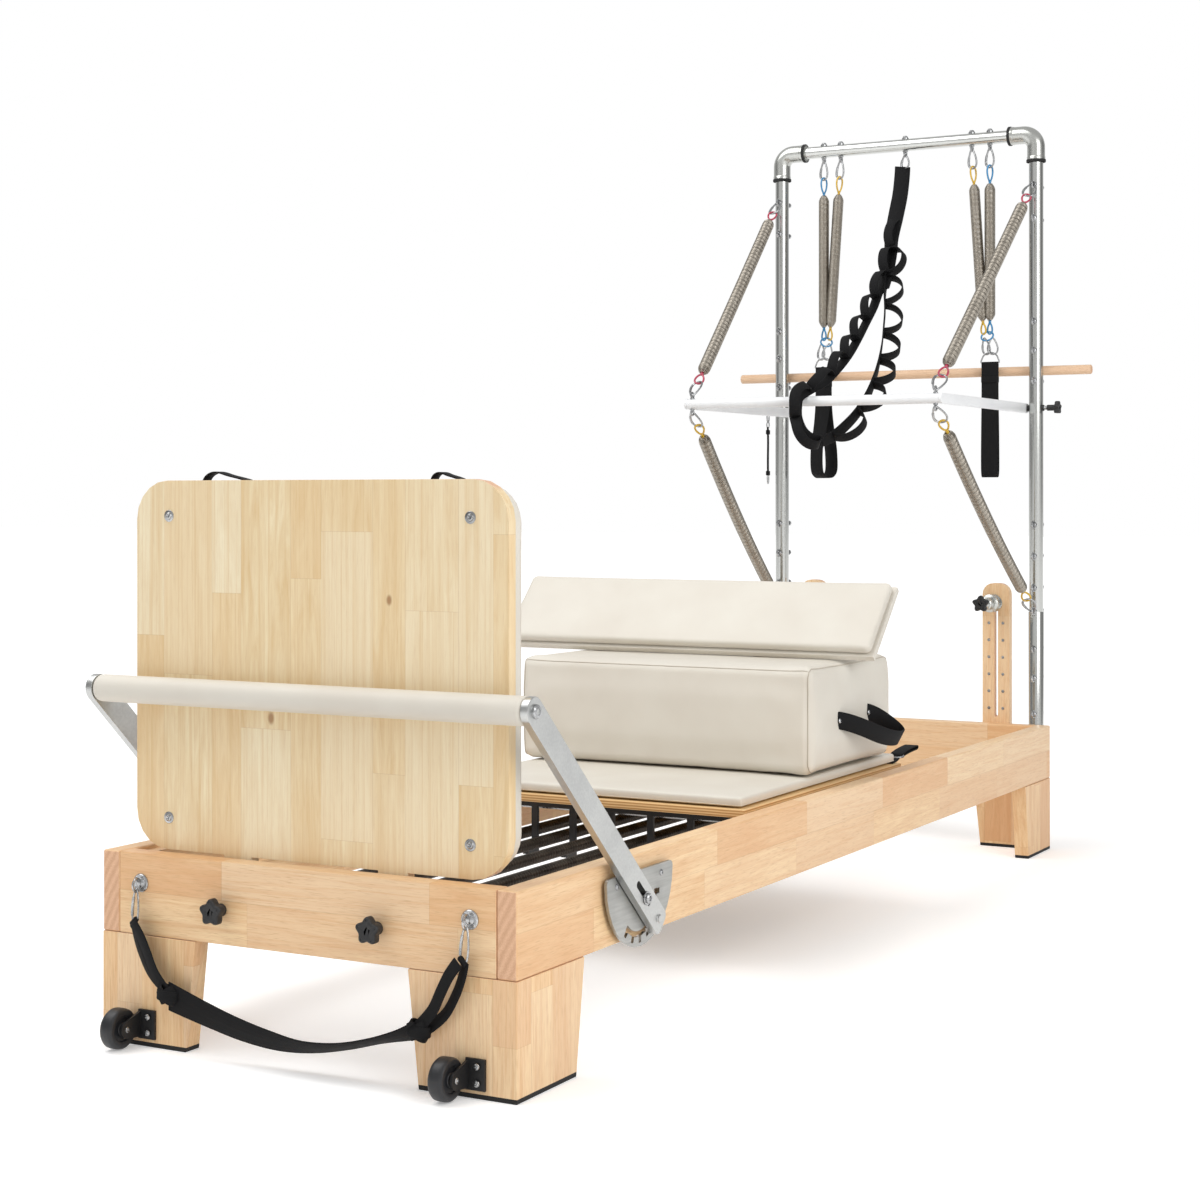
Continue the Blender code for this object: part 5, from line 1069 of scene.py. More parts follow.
class OBJECT_OT_reformer_front_fittings(bpy.types.Operator):
    """Builds the clamp knobs, the keeper, the transport wheels and their brackets"""
    bl_idname = "object.reformer_front_fittings"
    bl_label = "Front fittings"

    def execute(self, context):
        y, z = 0.137, 0.216
        for side, sign in SIDES:
            whole = new_form()
            star_knob(whole, at(-0.0004, sign * y, z), TO_FOOT, 0.0174, 0.0026, 0.016, 0.013, 0.0095)
            gather(whole, rod(at(0.0001, sign * y, z), at(0.035, sign * y, z), 0.004, 20), 1)
            dressed("clamp_knob_" + side, whole, ["black_nylon", "zinc_steel"], "clamp_" + side, 40)
        dressed(
            "board_keeper", cad_form("board_keeper", 0.0006, 1), ["black_powder_coat"], "frame",
            weigh=True)
        rim = mm(
            (9.5, 10.5), (10.5, 8.8), (17.5, 8.8), (18.5, 10.5), (23.5, 11.8), (27.2, 11.2), (29.4, 8.5), (30, 4.5))
        tread = [(reach, -along) for reach, along in rim] + rim[::-1]
        wheel_x, wheel_z = -0.0325, 0.031
        for side, low_y in (("left", 0.292), ("right", -0.282)):
            whole = new_form()
            centre = at(wheel_x, low_y + 0.012, wheel_z)
            gather(whole, spun(tread, centre, (0, 1, 0), 64))
            gather(whole, dome_bolt(centre + Vector((0, -0.0103, 0)), (0, -1, 0), 0.0056, 0.0022), 1)
            dressed(
                "transport_wheel_" + side, whole, ["urethane_tyre", "zinc_steel"], "wheel_" + side, 40)
            node = "wheel_bracket_" + side
            whole = new_form()
            gather(whole, cad_form(node, 0.0008))
            low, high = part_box(node)
            for up in (0.01, 0.033):
                spot = Vector((low.x + 0.0385, (low.y + high.y) / 2 - 0.004, low.z + up))
                gather(whole, dome_bolt(spot, TO_FOOT, 0.0048, 0.0024), 1)
            gather(whole, dome_bolt(at(wheel_x, high.y - 0.0028, wheel_z), (0, -1, 0), 0.0062, 0.003), 1)
            dressed(node, whole, ["black_powder_coat", "zinc_steel"], "frame", weigh=True)
        return {"FINISHED"}


class OBJECT_OT_reformer_carry_strap(bpy.types.Operator):
    """Builds the carry strap with its knots and snap hooks"""
    bl_idname = "object.reformer_carry_strap"
    bl_label = "Carry strap"

    def execute(self, context):
        whole = new_form()
        # From the left knot the band lies open, then turns on its edge on its way to the right knot.
        # Each point has its place, and how far the band's broad side lies up and out.
        course = [
            (0.219, 0.086, 1, 0), (0.19, 0.078, 1, 0.1), (0.145, 0.066, 1, 0.25), (0.09, 0.053, 0.95, 0.4),
            (0.03, 0.044, 0.85, 0.6), (-0.03, 0.042, 0.6, 0.85), (-0.09, 0.05, 0.4, 0.95),
            (-0.145, 0.064, 0.35, 1), (-0.19, 0.077, 0.5, 0.9), (-0.219, 0.088, 0.7, 0.7)]
        line = smooth_line([at(-0.02, y, z) for y, z, up, out in course])
        ways = smooth_line([(-out, 0, up) for y, z, up, out in course])
        gather(whole, band(line, ways, 0.042, 0.0026))
        outer = mm((290, 188), (286, 169), (276, 143), (257, 112), (224, 86))
        inner = mm((284, 188), (269, 168), (256, 144), (242, 117), (217, 90))
        for side, sign in SIDES:
            for points, x, lean in ((outer, -0.015, 0.35), (inner, -0.0235, 0.2)):
                line = smooth_line([at(x, sign * y, z) for y, z in points])
                ways = []
                for before, after in zip(line, line[1:] + line[-1:]):
                    run = (after - before) if after != before else (line[-1] - line[-2])
                    flat = run.cross(Vector(TO_HEAD)).normalized()
                    ways.append(flat * (1 - lean) + Vector(TO_FOOT) * lean)
                gather(whole, band(line, ways, 0.019, 0.0024))
            fold = at(-0.0165, sign * 0.2872, 0.188)
            gather(whole, rod(fold - ways[0] * 0.0102, fold + ways[0] * 0.0102, 0.0042, 18, 0.0012))
            knot(whole, at(-0.0212, sign * 0.219, 0.088), (0.023, 0.035, 0.015))
            low = at(-0.015, sign * 0.2875, 0.1835)
            eye = at(-0.0105, sign * 0.2885, 0.2335)
            hook = flat_loop((low + eye) / 2, eye - low, (0.35, 1, 0), (eye - low).length + 0.003, 0.0165, 24, 0.22)
            gather(whole, wire(hook, 0.0016, closed=True), 1)
            gather(whole, wire(hook[4:9], 0.0024), 1)
        dressed("carry_strap", whole, ["nylon_webbing", "zinc_steel"], "frame", 50)
        return {"FINISHED"}


class OBJECT_OT_reformer_tower(bpy.types.Operator):
    """Builds the tower's posts, elbows, top bar, eyebolts and the dowel on its hooks"""
    bl_idname = "object.reformer_tower"
    bl_label = "Tower"

    def execute(self, context):
        sleeve_low, post_top = 0.03, 1.6277
        post = [
            (SLEEVE_RADIUS - 0.0006, sleeve_low), (SLEEVE_RADIUS, sleeve_low + 0.0006),
            (SLEEVE_RADIUS, SLEEVE_TOP - 0.001), (SLEEVE_RADIUS - 0.0004, SLEEVE_TOP),
            (POST_RADIUS, SLEEVE_TOP + 0.0002), (POST_RADIUS, post_top)]
        collar = mm((16.8, 0), (20.6, 0), (21.2, 0.6), (21.2, 11), (20.6, 12.5), (16.8, 12.5), (16.8, 0))
        lip = mm((16.6, -1.2), (21.9, -1.2), (22.6, -0.6), (22.6, 4.6), (21.9, 5.4), (16.6, 5.4), (16.6, -1.2))
        saddle_radius = SLEEVE_RADIUS + 0.0018
        hook_z, hook_end = 1.0983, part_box("tower_post_left")[1].x - FOOT_X - 0.003
        bend, elbow_low, elbow_side = 0.03, 1.598, 0.258
        for side, sign in SIDES:
            y = sign * POST_Y
            whole = new_form()
            gather(whole, spun(post, at(POST_X, y, 0), UP, 64))
            for z in POST_EYES:
                surface = SLEEVE_RADIUS if z < SLEEVE_TOP else POST_RADIUS
                # The dowel lifts past two of the bolts, which end flush behind the post.
                tail = 0.001 if 1.15 < z < 1.24 else 0.0285
                eyebolt(whole, at(POST_X - surface, y, z), TO_FOOT, UP, EYE_REACH - 0.003, 2 * surface, tail)
            for z in (0.195, 0.258):
                front = at(FRAME_END + 0.0018, y, z)
                ends = [front + Vector((0, across, 0)) for across in (-0.036, -saddle_radius, saddle_radius, 0.036)]
                arch = []
                for step in range(-8, 9):
                    angle = math.pi / 2 * step / 8
                    arch.append(at(
                        POST_X + saddle_radius * math.cos(angle), y + saddle_radius * math.sin(angle), z))
                gather(whole, band(ends[:2] + arch + ends[2:], UP, 0.02, 0.003), 1)
                for across in (-0.029, 0.029):
                    gather(whole, hex_nut(front + Vector((0.0014, across, 0)), TO_HEAD, 0.0055, 0.0036), 1)
            hook = [
                at(POST_X + POST_RADIUS - 0.002, y, hook_z), at(hook_end - 0.004, y, hook_z),
                at(hook_end - 0.001, y, hook_z + 0.001), at(hook_end, y, hook_z + 0.004),
                at(hook_end, y, hook_z + 0.012)]
            gather(whole, wire(smooth_line(hook, 5), 0.003, sides=12), 1)
            gather(whole, rod(at(POST_X, y - 0.0193, PUSH_Z), at(POST_X, y + 0.0193, PUSH_Z), 0.0072, 28, 0.0008), 2)
            skins = ["satin_steel_tube", "zinc_steel", "black_nylon"]
            dressed("tower_post_" + side, whole, skins, "frame", 40)

            whole = new_form()
            path = [at(POST_X, y, elbow_low), at(POST_X, y, 1.612)]
            for step in range(13):
                angle = math.pi / 2 * step / 12
                path.append(at(
                    POST_X, sign * (POST_Y - bend + bend * math.cos(angle)), TOP_BAR_Z - bend + bend * math.sin(angle)))
            path += [at(POST_X, sign * 0.272, TOP_BAR_Z), at(POST_X, sign * elbow_side, TOP_BAR_Z)]
            gather(whole, wire(path, 0.0205, sides=48))
            for start, ahead in (
                    (at(POST_X, y, elbow_low + 0.0012), UP),
                    (at(POST_X, sign * (elbow_side + 0.0012), TOP_BAR_Z), (0, sign, 0))):
                gather(whole, spun(collar, start, ahead, 56))
                gather(whole, spun(lip, start, ahead, 56), 1)
            dressed("tower_elbow_" + side, whole, ["cast_fitting", "black_rubber"], "frame", 40)

        whole = new_form()
        gather(whole, rod(at(POST_X, -0.2877, TOP_BAR_Z), at(POST_X, 0.2877, TOP_BAR_Z), TOP_BAR_RADIUS, 56))
        for y in (OUTER_EYE, INNER_EYE, 0, -INNER_EYE, -OUTER_EYE):
            under = at(POST_X, y, TOP_BAR_Z - TOP_BAR_RADIUS)
            eyebolt(whole, under, DOWN, TO_HEAD, 0.0062, 2 * TOP_BAR_RADIUS, 0.008)
        dressed("tower_top_bar", whole, ["satin_steel_bar", "zinc_steel"], "frame", 40)

        whole = new_form()
        middle = (DOWEL_LOW + DOWEL_HIGH) / 2
        radius = (DOWEL_HIGH.z - DOWEL_LOW.z) / 2
        gather(whole, rod((middle.x, DOWEL_LOW.y, middle.z), (middle.x, DOWEL_HIGH.y, middle.z), radius, 48, 0.0015))
        dressed("dowel", whole, ["beech_dowel"], "dowel", 45)
        return {"FINISHED"}


class OBJECT_OT_reformer_push_bar(bpy.types.Operator):
    """Builds the push through bar, its side arms, pins and knob"""
    bl_idname = "object.reformer_push_bar"
    bl_label = "Push through bar"

    def execute(self, context):
        whole = new_form()
        gather(whole, rod(at(PUSH_X, -PUSH_HALF, PUSH_Z), at(PUSH_X, PUSH_HALF, PUSH_Z), 0.011, 48))
        washer = mm((9.5, 0), (10, 0.5), (10, 1.5), (9.5, 2))
        thick, tall, nose = 0.006, 0.0115, 0.0113
        for side, sign in SIDES:
            low = PUSH_HALF if sign > 0 else -PUSH_HALF - thick
            arm = slab(at(PUSH_X, low, PUSH_Z - tall), at(POST_X, low + thick, PUSH_Z + tall))
            ends = [edge for edge in arm.edges if abs((edge.verts[0].co - edge.verts[1].co).normalized().y) > 0.9]
            bevel_edges(arm, ends, 0.0112, 8)
            # The rounded ends are pushed out past the bar and the post's pin.
            low_x = min(vert.co.x for vert in arm.verts)
            high_x = at(POST_X, 0, 0).x
            for vert in arm.verts:
                if vert.co.x < low_x + 0.02:
                    vert.co.x -= nose
                elif vert.co.x > high_x - 0.02:
                    vert.co.x += nose
            round_edges(arm, 0.0009)
            gather(whole, arm)
            pin_end = 0.35 if sign < 0 else 0.378
            gather(whole, rod(at(POST_X, sign * 0.3005, PUSH_Z), at(POST_X, sign * pin_end, PUSH_Z), 0.0048), 1)
            gather(whole, spun(washer, at(POST_X, sign * 0.302, PUSH_Z), (0, sign, 0), 28), 1)
            for up in (1, -1):
                base = at(PUSH_X, sign * PUSH_EYE_Y, PUSH_Z + up * 0.0108)
                gather(whole, rod(base - Vector((0, 0, up * 0.001)), base + Vector((0, 0, up * 0.003)), 0.005, 20), 1)
                middle = base + Vector((0, 0, up * 0.008))
                gather(whole, ring(middle, (0, 0, up), TO_HEAD, 0.0135, 0.0135, 0.002, 18), 1)
        dressed("push_bar", whole, ["white_powder_coat", "zinc_steel"], "push_bar", 40)

        whole = new_form()
        star_knob(whole, at(POST_X, -0.3503, PUSH_Z), (0, -1, 0), 0.0128, 0.0026, 0.0125, 0.018, 0.007)
        new_piece("push_knob_dressed", whole, ["black_nylon"], "push_knob", ("push_bar_knob",), 40)
        return {"FINISHED"}


class OBJECT_OT_reformer_tower_springs(bpy.types.Operator):
    """Builds the four springs that hold the push through bar"""
    bl_idname = "object.reformer_tower_springs"
    bl_label = "Push through springs"

    def execute(self, context):
        sizes = context.scene.reformer_sizes
        snap, eye, bite = 0.045, 0.038, 0.0015
        eye_way = (0.5, -1, 0)
        for side, sign in SIDES:
            for name, post_z, bar_up, hook, sag in (
                    ("upper", UPPER_SPRING_EYE, 0.0195, "red_enamel", 0.0015),
                    ("lower", LOWER_SPRING_EYE, -0.0195, "yellow_enamel", 0.0115)):
                post = at(POST_X - POST_RADIUS - EYE_REACH + 0.001, sign * POST_Y, post_z)
                bar = at(PUSH_X, sign * PUSH_EYE_Y, PUSH_Z + bar_up)
                ahead = (bar - post).normalized()
                first = post + ahead * snap
                last = bar - ahead * snap
                whole = new_form()
                snap_hook(whole, post - ahead * bite, first, (0.3 * sign, 1, 0))
                snap_hook(whole, bar + ahead * bite, last, (0.3 * sign, 1, 0))
                spring_hook(whole, first - ahead * bite, first + ahead * eye, eye_way, 2, 0.0023, 0.019)
                spring_hook(whole, last + ahead * bite, last - ahead * eye, eye_way, 2, 0.0023, 0.019)
                gather(whole, coil(
                    first + ahead * (eye - 0.004), last - ahead * (eye - 0.004), sizes.spring_radius,
                    sizes.spring_wire, sag=sag))
                skins = ["oiled_spring_wire", "zinc_steel", hook]
                piece = dressed("push_spring_" + name + "_" + side, whole, skins, None, 60)
                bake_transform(piece)
        return {"FINISHED"}


class OBJECT_OT_reformer_hanging_springs(bpy.types.Operator):
    """Builds the hanging springs and the hand loops under them"""
    bl_idname = "object.reformer_hanging_springs"
    bl_label = "Hanging springs and loops"

    def execute(self, context):
        sizes = context.scene.reformer_sizes
        snap_way, eye_way = (0.6, 1, 0), (1, -0.6, 0)
        for side, sign in SIDES:
            whole = new_form()
            for y, low_y, hook in ((OUTER_EYE, 0.2115, 2), (INNER_EYE, 0.196, 3)):
                top = at(POST_X, sign * y, TOP_EYE_Z)
                low = at(POST_X, sign * low_y, 1.205)
                ahead = (low - top).normalized()
                first = top + ahead * 0.042
                tail = low - ahead * 0.001
                snap_hook(whole, top - ahead * 0.001, first, snap_way)
                spring_hook(whole, first - ahead * 0.0015, first + ahead * 0.044, eye_way, hook)
                gather(whole, coil(
                    first + ahead * 0.04, tail - ahead * 0.028, sizes.spring_radius * 0.92, sizes.spring_wire))
                spring_hook(whole, tail + ahead * 0.003, tail - ahead * 0.03, snap_way, hook)
            centre = at(POST_X, sign * 0.205, 1.196)
            gather(whole, ring(centre, (0, 1, 0.25 * sign), (0.2, 0, 1), 0.03, 0.021, 0.0021), 2)
            y = sign * 0.212
            for shift, lean in ((0.01, 0.4), (-0.01, -0.4)):
                top = at(POST_X, sign * 0.208 + shift, 1.19)
                low = at(POST_X, y + shift * 0.7, 1.155)
                snap_hook(whole, top, low, (lean, 1, 0), 0.021, 0.002)
            buckle = mm((-19, -3), (-19.5, 8), (-13, 18), (0, 22.5), (13, 18), (19.5, 8), (19, -3))
            line = smooth_line([at(POST_X, y + across, 1.135 + up) for across, up in buckle], 4, closed=True)
            gather(whole, wire(line, 0.0019, closed=True), 1)
            skins = ["oiled_spring_wire", "zinc_steel", "blue_enamel", "yellow_enamel"]
            dressed("hanging_springs_" + side, whole, skins, "hanging_" + side, 60)

            whole = new_form()
            course = mm(
                (0, 1134.5), (-3.2, 1133), (-3.6, 1125), (-3, 1095), (-3.4, 1040), (-5.6, 980), (-7.2, 920),
                (-6.6, 880), (-3, 865.5), (0.8, 864), (4.6, 868), (7.6, 885), (7.2, 930), (5.2, 990), (2.2, 1050),
                (1.6, 1095), (2.6, 1125), (2.8, 1132.5))
            # The left loop hangs open and turns a little toward its foot.
            turn, open_up = (-0.35, 3.6) if side == "left" else (0.0, 1.0)
            line, ways = [], []
            for point in smooth_line([(x, 0, z) for x, z in course], 4):
                share = min(1.0, max(0.0, (1.095 - point.z) / 0.16))
                spin = Matrix.Rotation(turn * share * share * (3 - 2 * share), 3, "Z")
                reach = point.x * (1 + (open_up - 1) * share)
                line.append(at(POST_X, y, point.z) + spin @ Vector((reach, 0, 0)))
                ways.append(spin @ Vector((0, 1, 0)))
            gather(whole, band(line, ways, 0.04, 0.0024))
            gather(whole, slab(at(POST_X - 0.0064, y - 0.0205, 1.086), at(POST_X + 0.0052, y + 0.0205, 1.101), 0.0016))
            dressed("hand_loop_" + side, whole, ["nylon_webbing"], "hanging_" + side, 50)
        return {"FINISHED"}


class OBJECT_OT_reformer_straps(bpy.types.Operator):
    """Builds the stepped strap on the middle eye and the safety strap beside the left post"""
    bl_idname = "object.reformer_straps"
    bl_label = "Tower straps"

    def execute(self, context):
        whole = new_form()
        snap_hook(whole, at(POST_X, 0, TOP_EYE_Z), at(POST_X - 0.001, 0, 1.61), (0.5, 1, 0), 0.024)
        # Each point is in millimetres, with the band's turn in degrees, 90 when its broad side faces the camera.
        trunk = (
            (2416, 6, 1612, 85), (2409, 5, 1585, 85), (2390, 3, 1539, 82), (2360, 2, 1486, 66), (2330, 0, 1436, 46),
            (2290, -11, 1386, 46), (2250, -18, 1341, 48), (2205, -23, 1296, 40))
        left = (
            (2300, -8, 1398, 56), (2262, -15, 1354, 48), (2232, -21, 1322, 42), (2200, -17, 1289, 38),
            (2162, -19, 1252, 34), (2118, -19, 1215, 32), (2066, -19, 1173, 34), (2008, -20, 1134, 38),
            (1948, -18, 1100, 46), (1893, -10, 1070, 56), (1845, 9, 1049, 66), (1818, 20, 1033, 76),
            (1806, 20, 1010, 80), (1805, 18, 984, 76), (1814, 9, 957, 68), (1830, -6, 941, 64), (1852, -23, 937, 62))
        right = (
            (2300, -8, 1398, 128), (2262, -17, 1354, 146), (2232, -23, 1322, 160), (2200, -32, 1283, 168),
            (2172, -43, 1244, 173), (2140, -53, 1205, 172), (2105, -63, 1166, 167), (2064, -73, 1128, 160),
            (2018, -82, 1090, 151), (1972, -87, 1053, 142), (1935, -85, 1020, 135), (1908, -76, 993, 130),
            (1888, -60, 969, 126), (1872, -40, 948, 122), (1850, -22, 937, 120))
        steps = 8
        for points, width, start, stop, count, rise in (
                (trunk, 0.037, 0.192, 0.192, 1, 0.022), (left, 0.028, 0.043, 0.707, 9, 0.033),
                (right, 0.028, 0.043, 0.601, 7, 0.040)):
            line = smooth_line([at(*(number / 1000 for number in point[:3])) for point in points], steps)
            turns = [points[min(index // steps, len(points) - 1)][3] for index in range(len(line))]
            ways, faces, run = [], [], [0.0]
            for index, spot in enumerate(line):
                near = turns[max(0, index - 4):index + 5]
                ahead = (line[min(index + 1, len(line) - 1)] - line[max(index - 1, 0)]).normalized()
                flat = Vector(PHOTO_WAY).cross(ahead).normalized()
                way = Matrix.Rotation(math.radians(90 - sum(near) / len(near)), 3, ahead) @ flat
                ways.append(way)
                faces.append(way.cross(ahead).normalized())
                if index:
                    run.append(run[-1] + (spot - line[index - 1]).length)
            gather(whole, band(line, ways, width, 0.0034))
            # The steps are bumps of webbing sewn down at even distances.
            for number in range(count):
                middle = start + (stop - start) * number / max(1, count - 1)
                bump, bump_ways = [], []
                for step in range(-10, 11):
                    angle = math.pi / 20 * step
                    want = middle + 0.037 * (0.8 * math.sin(angle) + 0.2 * angle)
                    index = max(place for place in range(len(run) - 1) if run[place] <= max(0.0, want))
                    part = (want - run[index]) / (run[index + 1] - run[index])
                    up = rise * max(0.0, math.cos(angle)) + 0.001
                    spot = line[index].lerp(line[index + 1], part)
                    bump.append(spot + faces[index].lerp(faces[index + 1], part) * up)
                    bump_ways.append(ways[index].lerp(ways[index + 1], part))
                gather(whole, band(bump, bump_ways, 0.023, 0.0022))
        piece = dressed("ladder_strap", whole, ["nylon_webbing", "zinc_steel"], None, 50)
        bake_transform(piece)

        whole = new_form()
        x, y = at(POST_X, 0, 0).x, ((SAFETY_LOW + SAFETY_HIGH) / 2).y
        gather(whole, ring((x, y, 1.016), UP, (1, 0.15, 0), 0.028, 0.0175, 0.0018, 22, 0.2), 1)
        gather(whole, ring((x, y, 0.9955), UP, (0.6, 1, 0), 0.017, 0.01, 0.0014, 18), 1)
        strap = [(x - 0.001, y, 0.9905), (x + 0.0005, y, 0.95), (x - 0.0006, y, 0.91), (x, y, 0.87)]
        gather(whole, band(smooth_line(strap, 5), (1, 0.2, 0), 0.0125, 0.003))
        for z in (0.972, 0.87):
            gather(whole, slab((x - 0.0072, y - 0.003, z), (x + 0.0072, y + 0.003, z + 0.011), 0.0012))
        gather(whole, ring((x, y, 0.861), UP, (1, 0.15, 0), 0.023, 0.013, 0.0015, 22, -0.2), 1)
        dressed("safety_strap", whole, ["nylon_webbing", "zinc_steel"], "safety_strap", 50)
        return {"FINISHED"}


class OBJECT_OT_reformer_risers(bpy.types.Operator):
    """Builds the slotted risers, their pulleys and knobs"""
    bl_idname = "object.reformer_risers"
    bl_label = "Risers and pulleys"

    def execute(self, context):
        eyelet = mm((2.2, 0.2), (2.6, 0.6), (3.4, 0.6), (3.6, 0), (0, -0.2))
        for side, sign in SIDES:
            node = "riser_" + side
            whole = new_form()
            gather(whole, cad_form(node, 0.0014))
            for across in (-0.017, 0.017):
                for step in range(6):
                    spot = at(2.4002, sign * 0.232 + across, 0.32 + step * 0.04)
                    gather(whole, spun(eyelet, spot, TO_FOOT, 20), 1)
            dressed(node, whole, ["rubberwood_riser", "zinc_steel"], "frame", weigh=True)
            node = "riser_pulley_" + side
            low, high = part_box(node)
            middle = (low + high) / 2
            deep = high.x - low.x
            pulley = mm(
                (11.5, 0), (12.5, 1), (12.5, 20), (15, 22), (15, 50), (20, 52), (21, 53), (21, 57), (17.8, 62),
                (16.5, 68), (17.8, 74), (21, 79), (21, 84), (20, 85), (14, 86), (14, 99.8), (4, 99.8), (4, 120.6),
                (9, 120.8))
            pulley += [(0.009, deep - 0.0006), (0.0084, deep)]
            whole = new_form()
            gather(whole, spun(pulley, (low.x, middle.y, middle.z), TO_HEAD, 48))
            dressed(node, whole, ["cast_fitting"], "pulley_" + side, 40)
            node = "riser_knob_" + side
            low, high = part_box(node)
            middle = (low + high) / 2
            whole = new_form()
            star_knob(whole, (high.x, middle.y, middle.z), TO_FOOT, 0.0168, 0.0028, 0.0145, 0.0015, 0.009)
            dressed(node, whole, ["black_nylon"], "pulley_knob_" + side, 40)
        return {"FINISHED"}


class OBJECT_OT_reformer_springs(bpy.types.Operator):
    """Builds the five long springs under the carriage and the bar that they hook on"""
    bl_idname = "object.reformer_springs"
    bl_label = "Carriage springs"

    def execute(self, context):
        dressed(
            "spring_bar", cad_form("spring_bar", 0.0006, 1), ["black_powder_coat"], "frame", weigh=True)
        button = mm((6, 0), (8, 1.8), (8, 11.8), (6, 13.5))
        z, first_x, last_x, eye_x = 0.205, 0.196, 1.326, 1.369
        for number in range(5):
            y = 0.078 * (number - 2)
            whole = new_form()
            gather(whole, coil(at(first_x, y, z), at(last_x, y, z), 0.0103, 0.0012, taper=0.012, points=10))
            gather(whole, rod(at(0.1365, y, z), at(first_x + 0.01, y, z), 0.0023, 16), 1)
            gather(whole, spun(button, at(0.1222, y, z), TO_HEAD, 28), 2)
            gather(whole, rod(at(last_x - 0.008, y, z), at(eye_x, y, z), 0.0023, 16), 1)
            gather(whole, ring(at(eye_x, y, z), TO_HEAD, UP, 0.013, 0.013, 0.002, 18), 1)
            if number == 0:
                gather(whole, rod(at(eye_x + 0.003, -0.176, z), at(eye_x + 0.003, 0.176, z), 0.0042, 20), 1)
            piece = new_piece(
                "reformer_spring_" + str(number + 1), whole, ["dark_spring_wire", "zinc_steel", "black_nylon"], None,
                ("reformer_springs",) if number == 0 else (), 60)
            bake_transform(piece)
        return {"FINISHED"}


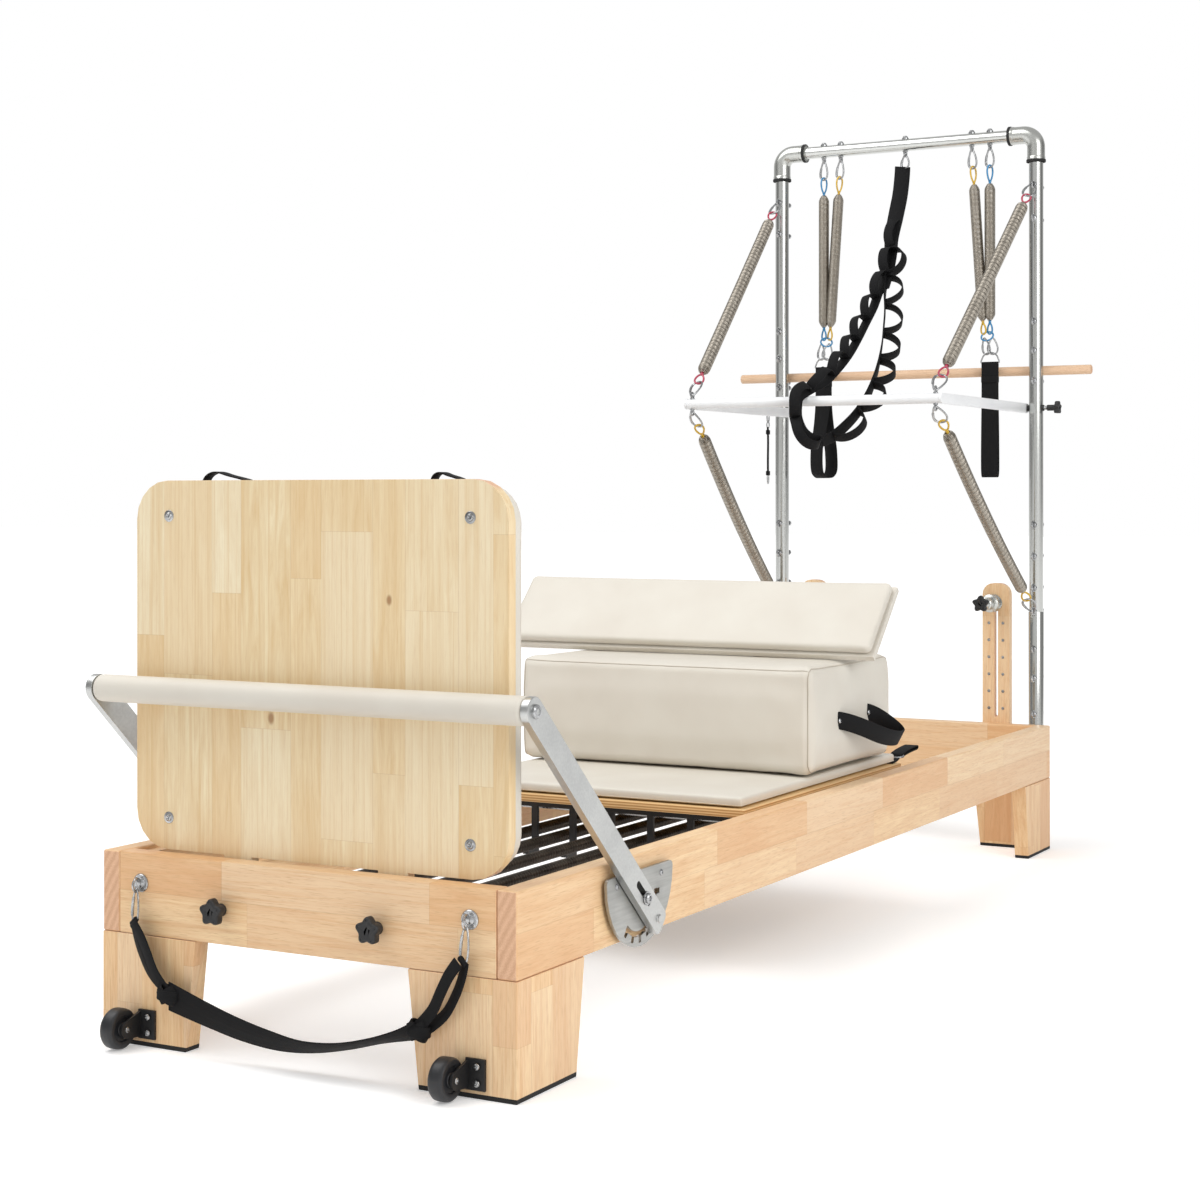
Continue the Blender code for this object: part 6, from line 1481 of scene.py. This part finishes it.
class OBJECT_OT_reformer_stage(bpy.types.Operator):
    """Lays the pale floor and sets the lamps, the white surroundings and the camera"""
    bl_idname = "object.reformer_stage"
    bl_label = "Stage and camera"

    def execute(self, context):
        scene = context.scene
        white = (1, 1, 1, 1)
        floor = bpy.data.materials.new("pale_floor")
        floor.use_nodes = True
        floor.node_tree.nodes.clear()
        node = partial(add_node, floor.node_tree)
        # The floor glows a little, and more so further out, so that it fades into the white.
        paint = node("BsdfDiffuse", (0.93, 0.93, 0.93, 1))
        spot = node("TexCoord")
        away = node("VectorMath", spot.outputs["Object"], operation="LENGTH")
        lift = node("MapRange", away, 1.5, 5.5, 0.27, 0.56)
        both = node("AddShader", paint, node("Emission", white, lift))
        rays = node("LightPath")
        seen = node("Math", rays.outputs["Is Camera Ray"], rays.outputs["Is Glossy Ray"], operation="MAXIMUM")
        node("OutputMaterial", node("MixShader", seen, paint, both))
        form = bmesh.new()
        bmesh.ops.create_grid(form, x_segments=1, y_segments=1, size=40)
        mesh = bpy.data.meshes.new("studio_floor")
        form.to_mesh(mesh)
        form.free()
        ground = bpy.data.objects.new("studio_floor", mesh)
        scene.collection.objects.link(ground)
        mesh.materials.append(floor)
        for name, power, size, spot, aim in (
                ("key_lamp", 112, 3.6, (-1.4, 1.8, 4.2), (0, 0, 0.4)),
                ("fill_lamp", 84, 3, (-1.9, -4, 2.6), (0, 0, 0.5))):
            lamp = bpy.data.lights.new(name, "AREA")
            lamp.energy = power
            lamp.size = size
            thing = bpy.data.objects.new(name, lamp)
            thing.location = spot
            thing.rotation_euler = (Vector(aim) - Vector(spot)).to_track_quat("-Z", "Y").to_euler()
            scene.collection.objects.link(thing)
        world = bpy.data.worlds.new("white_studio")
        scene.world = world
        world.use_nodes = True
        world.node_tree.nodes.clear()
        node = partial(add_node, world.node_tree)
        rays = node("LightPath")
        seen = node("Math", rays.outputs["Is Camera Ray"], rays.outputs["Is Transmission Ray"], operation="MAXIMUM")
        # The sides of the room are darker, so that the tubes show dark and bright lines.
        way = node("TexCoord").outputs["Generated"]
        front = node("VectorMath", way, PHOTO_WAY, operation="DOT_PRODUCT")
        front = node("Math", front, operation="ABSOLUTE")
        front = node("MapRange", front, 0.22, 0.62, 0.26, 0.7)
        height = node("SeparateXYZ", way)
        height = node("MapRange", height.outputs["Z"], 0.2, 0.6, 0, 0.64)
        room = node("Math", front, height, operation="MAXIMUM")
        strength = node("Math", room, seen, operation="MAXIMUM")
        node("OutputWorld", node("Background", white, strength))
        lens = bpy.data.cameras.new("photo_camera")
        lens.lens = 64.28
        lens.sensor_width = 36
        lens.shift_y = -0.0851
        lens.clip_end = 200
        camera = bpy.data.objects.new("photo_camera", lens)
        camera.location = (-3.66305, -1.8427, 0.814)
        camera.rotation_euler = (math.radians(90), 0, math.radians(28.798 - 90))
        scene.collection.objects.link(camera)
        scene.camera = camera
        scene.view_settings.view_transform = "Standard"
        return {"FINISHED"}


OPERATORS = (
    OBJECT_OT_reformer_frame,
    OBJECT_OT_reformer_jump_board,
    OBJECT_OT_reformer_carriage,
    OBJECT_OT_reformer_cushions,
    OBJECT_OT_reformer_footbar,
    OBJECT_OT_reformer_quadrants,
    OBJECT_OT_reformer_front_fittings,
    OBJECT_OT_reformer_carry_strap,
    OBJECT_OT_reformer_tower,
    OBJECT_OT_reformer_push_bar,
    OBJECT_OT_reformer_tower_springs,
    OBJECT_OT_reformer_hanging_springs,
    OBJECT_OT_reformer_straps,
    OBJECT_OT_reformer_risers,
    OBJECT_OT_reformer_springs,
    OBJECT_OT_reformer_stage,
)


class VIEW3D_PT_reformer(bpy.types.Panel):
    """Lists the sizes, the colours and the operators"""
    bl_label = "Pilates reformer"
    bl_space_type = "VIEW_3D"
    bl_region_type = "UI"
    bl_category = "Reformer"

    def draw(self, context):
        for group in (context.scene.reformer_sizes, context.scene.reformer_colours):
            for name in group.__annotations__:
                self.layout.prop(group, name)
        for operator in OPERATORS:
            self.layout.operator(operator.bl_idname)


CLASSES = (ReformerSizes, ReformerColours, *OPERATORS, VIEW3D_PT_reformer)


def register():
    for kind in CLASSES:
        bpy.utils.register_class(kind)
    bpy.types.Scene.reformer_sizes = bpy.props.PointerProperty(type=ReformerSizes)
    bpy.types.Scene.reformer_colours = bpy.props.PointerProperty(type=ReformerColours)


def unregister():
    del bpy.types.Scene.reformer_colours
    del bpy.types.Scene.reformer_sizes
    for kind in reversed(CLASSES):
        bpy.utils.unregister_class(kind)


def main():
    register()
    for operator in OPERATORS:
        group, name = operator.bl_idname.split(".")
        getattr(getattr(bpy.ops, group), name)()


if __name__ == "__main__":
    main()
